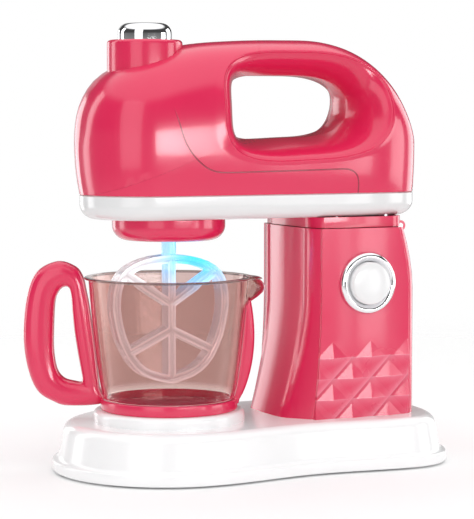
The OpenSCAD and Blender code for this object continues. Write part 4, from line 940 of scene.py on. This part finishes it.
# The front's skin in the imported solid: its place, how far its corners are set back, how far it flares at
# the foot, up to which share of its height, the half width of its flat middle, and its corners' place
FACE_X = 71
FACE_SET = 2.5
FLARE = 12.5
FLARE_TOP = 0.6
FACE_HALF = 20
CORNER_Y = 32.95
# What is added to it: a bulge in the middle, and beside each panel a strip, with its place, the width of
# its slanting edge and how far it stands out. A point within the slack of the skin is on it.
FACE_BULGE = 1.2
STRIP_Y = 21
STRIP_EDGE = 1.6
STRIP_PROUD = 0.9
SKIN_SLACK = 0.5
FRONT_CUTS = (4, 8, 12, 16, STRIP_Y, STRIP_Y + STRIP_EDGE, 27)


def sliced(bm, at, axis):
    """Cuts the faces along a plane across an axis, so that they can bend there."""
    everything = bm.verts[:] + bm.edges[:] + bm.faces[:]
    bmesh.ops.bisect_plane(bm, geom=everything, dist=1e-4, plane_co=axis * at, plane_no=axis)


def column_front(bm):
    """Rounds the column's front a little from side to side, and stands a strip proud beside each panel."""
    for at in FRONT_CUTS:
        for side in (-1, 1):
            sliced(bm, side * at, Vector((0, 1, 0)))
    for vert in bm.verts:
        x, y, z = vert.co
        share, out = (z - COLUMN_FOOT) / (COLUMN.top - COLUMN_FOOT), abs(y)
        flare = FLARE * max(0, 1 - share / FLARE_TOP) ** 1.6
        face, corner = FACE_X - flare, FACE_X + FACE_SET - flare / 3
        skin = face + (corner - face) * max(0, (out - FACE_HALF) / (CORNER_Y - FACE_HALF))
        if out < CORNER_Y - 0.1 and x < skin + SKIN_SLACK and share > -0.01:
            fall = (CORNER_Y - out) / (CORNER_Y - STRIP_Y - STRIP_EDGE)
            strip = STRIP_PROUD * min(max(0, (out - STRIP_Y) / STRIP_EDGE), fall)
            vert.co.x = skin - FACE_BULGE * max(0, 1 - (out / FACE_HALF) ** 2) - strip
    return bm


PANEL_CUTS = 16
PANEL_ROUND = 1


def rounded_panel(bm):
    """Rounds a side panel a little from front to back, its edges drawn in."""
    low, high = min(v.co.x for v in bm.verts), max(v.co.x for v in bm.verts)
    for k in range(1, PANEL_CUTS):
        sliced(bm, low + (high - low) * k / PANEL_CUTS, Vector((1, 0, 0)))
    for vert in bm.verts:
        share = 2 * (vert.co.x - low) / (high - low) - 1
        vert.co.y -= math.copysign(PANEL_ROUND * share**2, vert.co.y)
    return bm


class MIXER_OT_column(bpy.types.Operator):
    """Builds the column's halves, its side panels with pyramids, and the neck"""

    bl_idname = "mixer.column"
    bl_label = "Column"

    def execute(self, context):
        for side in ("near", "far"):
            half, panel = f"column_{side}", f"panel_{side}"
            skin = column_front(merged_copy(half))
            finished(f"column_half_{side}", skin, half, finish("pink_shell"), 0.7, 40, sharp=42)
            relief = rounded_panel(merged_copy(panel, False))
            finished(f"side_panel_{side}", relief, panel, finish("pink_facets"), 0.4, 8, sharp=8)
        finished("neck", merged_copy("neck_collar"), "neck_collar", finish("pink_shell"), 0.6, 40)
        return {"FINISHED"}


# The bright ring: its hole, its seat in the column, how far its front stands before the panel, its round
RING_HOLE_R = 11.95
RING_SEAT_R = 13.85
RING_DEPTH = 3
RING_ROUND = 2.6
# The cap: its radius, wall, thickness of its face, length of its stem, the flange's thickness and its round
CAP_R = 11.65
CAP_WALL = 2.2
CAP_FACE = 3
CAP_STEM = 5
CAP_FLANGE = 1.2
CAP_ROUND = 1.8


class MIXER_OT_side_button(bpy.types.Operator):
    """Builds the push button on the column's side and its bright ring"""

    bl_idname = "mixer.side_button"
    bl_label = "Side button"

    def execute(self, context):
        middle_z = (CAP.bottom + CAP.top) / 2
        facing = Matrix.Translation((CAP.mid, 0, middle_z)) @ Matrix.Rotation(math.radians(90), 4, "X")
        out, seat, outer = -BEZEL.near, -BEZEL.far, BEZEL.rear - BEZEL.mid
        inner, panel = RING_HOLE_R, out - RING_DEPTH
        ring = [(inner, seat), (RING_SEAT_R, seat), (RING_SEAT_R, panel), (outer - 0.3, panel)]
        ring += arc((outer - RING_ROUND, out - RING_ROUND), RING_ROUND, 0, 90, 8)
        ring += [(inner + 1.6, out - 0.5), (inner + 0.5, out - 1.2), (inner, out - 1.9)]
        finished("button_ring", moved(spun(ring), facing), "button_bezel", finish("chrome_plated"))
        r, face, back, flange = CAP_R, -CAP.near, -CAP.far, CAP.rear - CAP.mid
        under, over = back + CAP_STEM, back + CAP_STEM + CAP_FLANGE
        hollow = [(CAP_WALL, back), (CAP_WALL, face - CAP_FACE), (r - CAP_WALL, face - CAP_FACE)]
        cap = [(0, back)] + hollow + [(r - CAP_WALL, under), (flange, under), (flange, over), (r, over)]
        cap += arc((r - CAP_ROUND, face - CAP_ROUND - 0.5), CAP_ROUND, 0, 70, 8)
        cap += [(r * 0.6, face - 0.12), (r * 0.3, face - 0.03), (0, face)]
        push = moved(spun(cap, closed=False), facing)
        finished("push_cap", push, "side_button", finish("white_button"))
        return {"FINISHED"}


# Head

# Half width of the head, the middle of its round front end, its squarer rear end and its round top
HEAD_HALF = 39.2
DOME_X = HEAD_HALF + SHELL.front
TAIL_L = 52
TAIL_POWER = 3.2
CROWN_POWER = 2.6
# The widest level of the head as a share of its height, and how far the lower edge is drawn in under it
BELLY_SHARE = 0.3145
TUCK = 2.7
HEAD_L, HEAD_H = SHELL.rear - SHELL.front, SHELL.top - SHELL.bottom
BELLY_Z = SHELL.bottom + BELLY_SHARE * HEAD_H
# The grip hole: its middle, length, height and the thickness left at its edge, the crease where its scoop
# meets the side, how square both are in front and at the rear, and how their lower edge slants
HOLE_X, HOLE_Z = 68, BELLY_Z + 20
HOLE_L, HOLE_H, HOLE_T = 72, 35, 16
CREASE_L, CREASE_H = HOLE_L * 1.46, HOLE_H * 1.76
HOLE_POWER, CREASE_POWER = 6, 3.4
HOLE_REAR_POWER = 2.6
HOLE_SLANT = 0.07
# The silhouette over the top, from the front of the belly to its rear: shares of length and height
CROWN_SHARES = [
    (0, BELLY_SHARE), (0.0124, 0.528), (0.0423, 0.6735), (0.0914, 0.784), (0.1946, 0.89), (0.311, 0.96),
    (0.442, 0.989), (0.592, 1), (0.721, 0.9916), (0.8245, 0.917), (0.907, 0.7675), (0.961, 0.5554),
    (0.991, BELLY_SHARE)]
CROWN = [tuple(p) for p in curve_through(
    [(s * HEAD_L + SHELL.front, SHELL.bottom + t * HEAD_H) for s, t in CROWN_SHARES], 10)]
LOW_FRONT = (DOME_X - (HEAD_HALF - TUCK), SHELL.bottom)
LOW_REAR = (SHELL.rear, SHELL.bottom)


def plan_side(x, half, front, rear):
    """Half width of the head's plan outline at x."""
    if x < DOME_X:
        return half * math.sqrt(max(0, 1 - ((DOME_X - x) / (DOME_X - front)) ** 2))
    if x > rear - TAIL_L:
        return half * max(0, 1 - ((x - rear + TAIL_L) / TAIL_L) ** TAIL_POWER) ** (1 / TAIL_POWER)
    return half


def plan_outline(half, front, rear, steps=28):
    """The head's outline in plan."""
    start = rear - TAIL_L
    tail = [(start + TAIL_L * c, half * s) for c, s in squared_turn(steps, 2 / TAIL_POWER, math.pi / 2)]
    flank = [(start + (DOME_X - start) * k / 12, half) for k in range(1, 12)]
    nose = [(DOME_X - (DOME_X - front) * s, half * c) for c, s in squared_turn(steps, 1, math.pi / 2)]
    tail[0], nose[-1] = (tail[0][0], 0), (nose[-1][0], 0)
    return both_sides(tail + flank + nose)


def shell_side(x, z, inset):
    """Half width of the head's shell at a place in side view, drawn in."""
    narrow = inset + TUCK * max(0, (BELLY_Z - z) / (BELLY_Z - SHELL.bottom)) ** 2
    plan = plan_side(x, HEAD_HALF - narrow, SHELL.front + narrow, SHELL.rear - inset)
    top = read_curve(CROWN, x) - inset - BELLY_Z
    if z <= BELLY_Z:
        return plan
    if top <= 0:
        return 0
    return plan * max(0, 1 - ((z - BELLY_Z) / top) ** CROWN_POWER) ** (1 / CROWN_POWER)


def direction(point):
    """Angle of a place about the middle of the grip hole, from just past straight down."""
    angle = math.degrees(math.atan2(point[1] - HOLE_Z, point[0] - HOLE_X))
    return angle + 360 if angle < -100 else angle


# How far the silhouette lies from the middle of the grip hole, by direction
REACH = [(direction(p), math.hypot(p[0] - HOLE_X, p[1] - HOLE_Z))
         for p in [LOW_REAR] + CROWN[::-1] + [LOW_FRONT]]


def rounded_reach(angle, half_l, half_h, front_power):
    """Distance to the edge of a rounded box about the hole, rising to the rear along its lower edge."""
    c, s = math.cos(math.radians(angle)), math.sin(math.radians(angle))
    n = front_power if c < 0 else HOLE_REAR_POWER
    r = ((abs(c) / half_l) ** n + (abs(s) / half_h) ** n) ** (-1 / n)
    return r * (1 - HOLE_SLANT * max(0, -s) * (1 + r * c / half_l))


def shell_angles(tops=96, lows=60):
    """Directions of the rows: over the top from low front to low rear, then back along the lower edge.

    Each has two marks: whether it ends on the lower edge, and whether it is one of that edge's own rows.
    """
    front, rear = direction(LOW_FRONT), direction(LOW_REAR)
    over_top = [front + (rear - front) * k / tops for k in range(tops + 1)]
    lower = []
    for k in range(1, lows):
        u = 1.35 * k / lows
        if u <= 1:
            x = DOME_X + (SHELL.rear - DOME_X) * (1 - u) ** 0.9
        else:
            x = DOME_X - (HEAD_HALF - TUCK) * math.sin(math.pi / 2 * (u - 1) / 0.35)
        lower.append(math.degrees(math.atan2(SHELL.bottom - HOLE_Z, x - HOLE_X)))
    marked = [(a, k == 0 or k == tops, False) for k, a in enumerate(over_top)]
    return marked + [(a, True, True) for a in lower]


# How the scoop leaves the edge of the hole and rolls over into the side: shares of its width and its depth
SCOOP_SHARES = [
    (0, 0), (0.1, 0.2), (0.25, 0.44), (0.45, 0.68), (0.65, 0.85), (0.8, 0.93), (0.9, 0.96), (0.955, 1.005),
    (1, 1)]
OUTER_STEPS, INNER_STEPS = 22, 9


def shell_row(angle, low, lower, near):
    """One closed ring of the head's half shell, from the hole's edge to the silhouette and back inside."""
    wall, turn = size("shell_wall"), math.radians(angle)

    def place(r):
        return Vector((HOLE_X + r * math.cos(turn), HOLE_Z + r * math.sin(turn)))

    reach = (HOLE_Z - SHELL.bottom) / -math.sin(turn) if low else read_curve(REACH, angle)
    end = place(reach)
    middle_x = (LOW_FRONT[0] + SHELL.rear) / 2
    shrink = (HEAD_L - TUCK - 2 * wall) / (HEAD_L - TUCK)
    low_end = Vector((middle_x + (end.x - middle_x) * shrink, SHELL.bottom))
    end_in = low_end if low else place(reach - wall)
    crease = place(rounded_reach(angle, CREASE_L / 2, CREASE_H / 2, CREASE_POWER))
    start = place(rounded_reach(angle, HOLE_L / 2, HOLE_H / 2, HOLE_POWER))
    start_in = place(rounded_reach(angle, HOLE_L / 2 + wall, HOLE_H / 2 + wall, HOLE_POWER))
    edge = HOLE_T / 2
    depth = shell_side(*crease, 0) - edge
    scoop = [tuple(p) for p in curve_through(SCOOP_SHARES, 3)]

    def skin(first, last, inset, steps):
        shares = scoop if steps == OUTER_STEPS else scoop[::4]
        ring = [(first + (crease - first) * t, edge - inset + depth * d) for t, d in shares]
        for k in range(1, steps + 1):
            p = crease + (last - crease) * (1 - (1 - k / steps) ** 2)
            ring.append((p, 0 if k == steps and not lower else shell_side(*p, inset)))
        return [(p.x, near * y, p.y) for p, y in ring]

    outer, inner = skin(start, end, 0, OUTER_STEPS), skin(start_in, end_in, wall, INNER_STEPS)
    return [(start.x, 0, start.y)] + outer + inner[::-1] + [(start_in.x, 0, start_in.y)]


# The parting line on the side of the head, seen from the side, and how far from it its marks reach
SEAM = [(-13.2, 197.6), (-10.4, 189), (-7.2, 179), (-2.5, 171.5), (3.6, 165.8), (9, 163), (16, 161.9),
        (35, 162.1), (60, 162.5), (84, 163), (90.4, 162.6), (94.6, 160), (96.2, 155), (96.4, 147)]
SEAM_SIDE = 8


def mark_seam(piece):
    """Stores how far each vertex lies from the parting line, and how far along the line.

    The distance is below 0 on one side of the line, and the line runs on past its first end.
    """
    line = curve_through(SEAM, 5)
    offsets, alongs = [], []
    for vertex in piece.data.vertices:
        x, _, z = TO_DRAFT @ vertex.co
        place, best, run = Vector((x, z)), (math.inf, 0, 0), 0
        for k, (a, b) in enumerate(zip(line, line[1:])):
            step = b - a
            t = (place - a).dot(step) / step.length_squared
            away = place - (a + step * min(max(t, 0), 1))
            if away.length < best[0]:
                side = math.copysign(min(away.length, SEAM_SIDE), step.x * away.y - step.y * away.x)
                best = (away.length, side, run + step.length * (t if k == 0 else min(max(t, 0), 1)))
            run += step.length
        offsets.append(best[1])
        alongs.append(best[2])
    for name, values in (("seam_offset", offsets), ("seam_along", alongs)):
        piece.data.attributes.new(name, "FLOAT", "POINT").data.foreach_set("value", values)


# The hole under the collar
COLLAR_HOLE_R = 18.5


class MIXER_OT_head(bpy.types.Operator):
    """Builds the two halves of the head's shell, with the scooped grip hole"""

    bl_idname = "mixer.head"
    bl_label = "Head shell"

    def execute(self, context):
        rows = shell_angles()
        seamed = glossy("pink_seamed", colour("pink"), seam=True)
        for side, near in (("near", -1), ("far", 1)):
            mesh = bridged([shell_row(*row, near) for row in rows], cyclic=True)
            half = finished(f"head_half_{side}", mesh, f"head_shell_{side}", seamed, sharp=50)
            low, high = SHELL.bottom + 50, SHELL.top + 20
            hole = [(0, low), (COLLAR_HOLE_R, low), (COLLAR_HOLE_R, high), (0, high)]
            cut(half, moved(spun(hole, 64, closed=False), Matrix.Translation((COLLAR.mid, 0, 0))))
            mark_seam(half)
        return {"FINISHED"}


TRAY_CHAMFER = 0.8


def tray_mesh():
    """The white band, closed below, with a small chamfer under the shell."""
    wall, r = size("shell_wall"), size("band_round")
    half, front = HEAD_HALF - TUCK, LOW_FRONT[0]
    bottom, top = TRAY.bottom, SHELL.bottom
    profile = arc((r, bottom + r), r, 270, 180, 10) + [(0, top - TRAY_CHAMFER), (TRAY_CHAMFER, top)]
    profile += [(wall, top), (wall, bottom + r), (wall + r / 3, bottom + wall + r / 4), (r, bottom + wall)]
    rings = []
    for inset, z in profile:
        outline = plan_outline(half - inset, front + inset, SHELL.rear - inset)
        rings.append([(x, y, z) for x, y in outline])
    return bridged(rings, capped=True)


# The chuck housing: the hole for the shaft's bush, and the round of its lower edge
BUSH_HOLE_R = 6.88
CHUCK_ROUND = 8


class MIXER_OT_band(bpy.types.Operator):
    """Builds the white band under the head and the housing of the chuck below it"""

    bl_idname = "mixer.band"
    bl_label = "Band and chuck"

    def execute(self, context):
        finished("white_band", tray_mesh(), "head_tray", finish("white_band"))
        r, wall = CHUCK.rear, size("shell_wall")
        centre = (r - CHUCK_ROUND, CHUCK.bottom + CHUCK_ROUND)
        outside = [(r, CHUCK.top)] + arc(centre, CHUCK_ROUND, 0, -90, 12)
        inside = [(BUSH_HOLE_R, CHUCK.bottom), (BUSH_HOLE_R, CHUCK.bottom + wall)]
        inside += arc(centre, CHUCK_ROUND - wall, -90, 0, 8) + [(r - wall, CHUCK.top)]
        finished("chuck", spun(outside + inside), "chuck_housing", finish("pink_shell"))
        return {"FINISHED"}


# The collar: the round of its edge, depth of the guide round the button, thickness of the floor and its hole
COLLAR_ROUND = 2
GUIDE_DEPTH = 2.2
COLLAR_FLOOR = Room("top_switch").top
COLLAR_FLOOR_T = 2.2
FLOOR_HOLE_R = 2.5
# The button: its radius, its round as a share of that, its wall and slanting inner corner, the skirt's
# reach, height and depth under the collar's top, and the button's travel
KNOB_R = 14.45
KNOB_ROUND = 0.38
KNOB_WALL = 2.2
KNOB_SLANT = 2.7
SKIRT_OUT = 1.8
SKIRT_H = 1.2
SKIRT_DROP = 3.7


class MIXER_OT_top_button(bpy.types.Operator):
    """Builds the collar on top of the head and its bright push button"""

    bl_idname = "mixer.top_button"
    bl_label = "Top button"

    def execute(self, context):
        here = Matrix.Translation((COLLAR.mid, 0, 0))
        r, top, bottom, edge = COLLAR.rear - COLLAR.mid, COLLAR.top, COLLAR.bottom, COLLAR_ROUND
        guide, inner, shelf = KNOB_R + 0.3, KNOB_R + SKIRT_OUT + 0.3, COLLAR_FLOOR + COLLAR_FLOOR_T
        sleeve = [(r, bottom)] + arc((r - edge, top - edge), edge, 0, 90, 8)
        sleeve += [(guide + 0.4, top), (guide, top - 0.4), (guide, top - GUIDE_DEPTH)]
        sleeve += [(inner, top - GUIDE_DEPTH), (inner, shelf), (FLOOR_HOLE_R, shelf)]
        sleeve += [(FLOOR_HOLE_R, COLLAR_FLOOR), (inner, COLLAR_FLOOR), (inner, bottom)]
        collar = moved(spun(sleeve), here)
        finished("button_collar", collar, "switch_collar", finish("pink_shell"))
        r, wall, edge, skirt = KNOB_R, KNOB_WALL, KNOB_R * KNOB_ROUND, top - SKIRT_DROP
        top, bottom, low = KNOB.top, KNOB.bottom, skirt + SKIRT_H
        knob = [(r - wall, skirt), (r + SKIRT_OUT, skirt), (r + SKIRT_OUT, low), (r, low)]
        knob += arc((r - edge, top - edge), edge, 0, 90, 12)
        knob += [(0, top), (0, bottom), (wall, bottom), (wall, top - wall)]
        knob += [(r - wall - KNOB_SLANT, top - wall), (r - wall, top - wall - KNOB_SLANT)]
        finished("bright_button", moved(spun(knob), here), "top_button", finish("chrome_plated"))
        return {"FINISHED"}


class MIXER_OT_works(bpy.types.Operator):
    """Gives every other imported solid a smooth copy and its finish"""

    bl_idname = "mixer.works"
    bl_label = "Works and fasteners"

    def execute(self, context):
        done = {node for piece in bpy.data.objects for node in piece.get("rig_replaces", [])}
        for node in sorted(set(frame["nodes"]) - done):
            piece = finished(f"{node}_made", merged_copy(node), node, finish(slot_of(node)), sharp=35)
            if node == "button_spring":
                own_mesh(piece)
        return {"FINISHED"}


# Stage

# The camera: degrees round from the side view and down, its place, its focal length and its sensor's width
AZIMUTH = 25
PITCH = 4.16
EYE = (-422.5, -993.5, 192.6)
LENS_MM = 138.7
SENSOR_MM = 36
# Where the lights point
MIDDLE = Vector((20, 0, 150))
# Soft boxes: degrees round from the camera (left is positive) and up, distance, width and height in mm,
# radiance, and whether they show in gloss alone or in diffuse light alone
SOFTBOXES = {
    "key": (24, 14, 1500, 900, 1400, 1.5, "gloss"),
    "front": (-16, 4, 1500, 1500, 1000, 0.8, "diffuse"),
    "top": (0, 88, 1500, 2000, 2000, 0.9, "diffuse"),
    "dome_band": (106, 10, 900, 260, 900, 2.8, "gloss"),
    "front_band": (141, 2, 900, 230, 500, 2.3, "gloss"),
    "back_left": (160, 4, 900, 400, 700, 0.45, "gloss"),
    "tail_strip": (-128, 8, 900, 480, 700, 2.6, "gloss"),
    "window": (-31, 2, 900, 560, 180, 11, "gloss"),
    "panel_band": (-59, -3, 900, 90, 300, 4.6, "gloss"),
    "panel_edge": (-53, -3, 900, 40, 300, 2.6, "gloss"),
    "tail_glow": (-88, 0, 900, 360, 420, 3.4, "gloss"),
}


def softbox(name, turn, lift, distance, width, height, radiance, only):
    """A rectangular light turned towards the middle of the object, with a given brightness."""
    turn, lift = math.radians(turn + AZIMUTH), math.radians(lift)
    away = Vector((-math.sin(turn) * math.cos(lift), -math.cos(turn) * math.cos(lift), math.sin(lift)))
    data = bpy.data.lights.new(name, "AREA")
    data.shape, data.size, data.size_y = "RECTANGLE", width * MM, height * MM
    data.energy = radiance * math.pi * width * height * MM**2
    light = bpy.data.objects.new(name, data)
    light.location = TO_FRAME @ (MIDDLE + away * distance)
    light.rotation_euler = (-away).to_track_quat("-Z", "Y").to_euler()
    light.visible_camera = False
    light.visible_diffuse = only != "gloss"
    light.visible_glossy = only != "diffuse"
    bpy.context.scene.collection.objects.link(light)


FLOOR_HALF = 900
FLOOR_FADE = 150


def floor_finish():
    """Pale paper that fades into the white behind it."""
    shader = Shader("studio_paper")
    fibre = shader.noise(500, 3)
    return shader.wear(
        Base_Color=shader.mix(fibre * 0.3, (0.97, 0.97, 0.97, 1), (0.955, 0.955, 0.955, 1)), Roughness=0.8,
        Alpha=1 - shader.distance((0, 0, 0)).between(FLOOR_FADE * MM, FLOOR_HALF * MM))


# What gloss sees of the room, by the height of the direction from -1 to 1
ROOM = ((-1, 0.35), (0, 0.3), (0.06, 0.28), (0.12, 0.06), (0.55, 0.06), (0.68, 1.3))
FILL = 0.78


def studio_world():
    """White behind the object, an even fill for its colours, and a dim room for its gloss."""
    world = bpy.data.worlds.new("studio")
    network = Network(world)
    path = network.add("ShaderNodeLightPath").node.outputs
    view = network.add("ShaderNodeTexCoord", output="Generated")
    height = network.value("ShaderNodeSeparateXYZ", None, {0: view}, "Z")
    room = network.add("ShaderNodeValToRGB", None, {"Fac": (height + 1) / 2})
    stops = room.node.color_ramp.elements
    for place, shade in ROOM:
        stop = stops.new((place + 1) / 2)
        stop.color = (shade, shade, shade, 1)
    stops.remove(stops[0])
    stops.remove(stops[len(stops) - 1])
    reflected = Value(network, path["Is Glossy Ray"]) * (1 - Value(network, path["Is Transmission Ray"]))
    seen = network.mix(reflected, (1, 1, 1, 1), room)
    light = network.mix(path["Is Diffuse Ray"], seen, (FILL, FILL, FILL, 1))
    network.feed(world.node_tree.nodes["Background"].inputs["Color"], light)
    world.cycles.sampling_method = "NONE"
    return world


class MIXER_OT_stage(bpy.types.Operator):
    """Sets up the pale floor, the soft lights and the camera"""

    bl_idname = "mixer.stage"
    bl_label = "Stage"

    def execute(self, context):
        scene = context.scene
        bm = bmesh.new()
        bmesh.ops.create_grid(bm, x_segments=1, y_segments=1, size=FLOOR_HALF * MM)
        mesh = bpy.data.meshes.new("floor")
        bm.to_mesh(mesh)
        bm.free()
        mesh.materials.append(floor_finish())
        floor = bpy.data.objects.new("floor", mesh)
        scene.collection.objects.link(floor)
        scene.world = studio_world()
        scene.view_settings.view_transform = "Standard"
        for name, place in SOFTBOXES.items():
            softbox(name, *place)
        camera = bpy.data.objects.new("camera", bpy.data.cameras.new("camera"))
        camera.data.lens, camera.data.sensor_width = LENS_MM, SENSOR_MM
        camera.location = TO_FRAME @ Vector(EYE)
        camera.rotation_euler = (math.radians(90 - PITCH), 0, -math.radians(AZIMUTH))
        scene.collection.objects.link(camera)
        scene.camera = camera
        return {"FINISHED"}


class MIXER_PT_panel(bpy.types.Panel):
    """Lists the steps that build the mixer"""

    bl_label = "Toy stand mixer"
    bl_idname = "MIXER_PT_panel"
    bl_space_type = "VIEW_3D"
    bl_region_type = "UI"
    bl_category = "Mixer"

    def draw(self, context):
        for group in (context.scene.mixer_sizes, context.scene.mixer_colours):
            for name in group.__annotations__:
                self.layout.prop(group, name)
        for step in STEPS:
            self.layout.operator(step.bl_idname)


STEPS = (
    MIXER_OT_base, MIXER_OT_bowl, MIXER_OT_beater, MIXER_OT_column, MIXER_OT_side_button, MIXER_OT_head,
    MIXER_OT_band, MIXER_OT_top_button, MIXER_OT_works, MIXER_OT_stage,
)
CLASSES = (MixerSizes, MixerColours) + STEPS + (MIXER_PT_panel,)


def register():
    for kind in CLASSES:
        bpy.utils.register_class(kind)
    bpy.types.Scene.mixer_sizes = PointerProperty(type=MixerSizes)
    bpy.types.Scene.mixer_colours = PointerProperty(type=MixerColours)


def unregister():
    del bpy.types.Scene.mixer_sizes
    del bpy.types.Scene.mixer_colours
    for kind in reversed(CLASSES):
        bpy.utils.unregister_class(kind)


def main():
    register()
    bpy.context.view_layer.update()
    bpy.ops.mixer.base()
    bpy.ops.mixer.bowl()
    bpy.ops.mixer.beater()
    bpy.ops.mixer.column()
    bpy.ops.mixer.side_button()
    bpy.ops.mixer.head()
    bpy.ops.mixer.band()
    bpy.ops.mixer.top_button()
    bpy.ops.mixer.works()
    bpy.ops.mixer.stage()


if __name__ == "__main__":
    main()
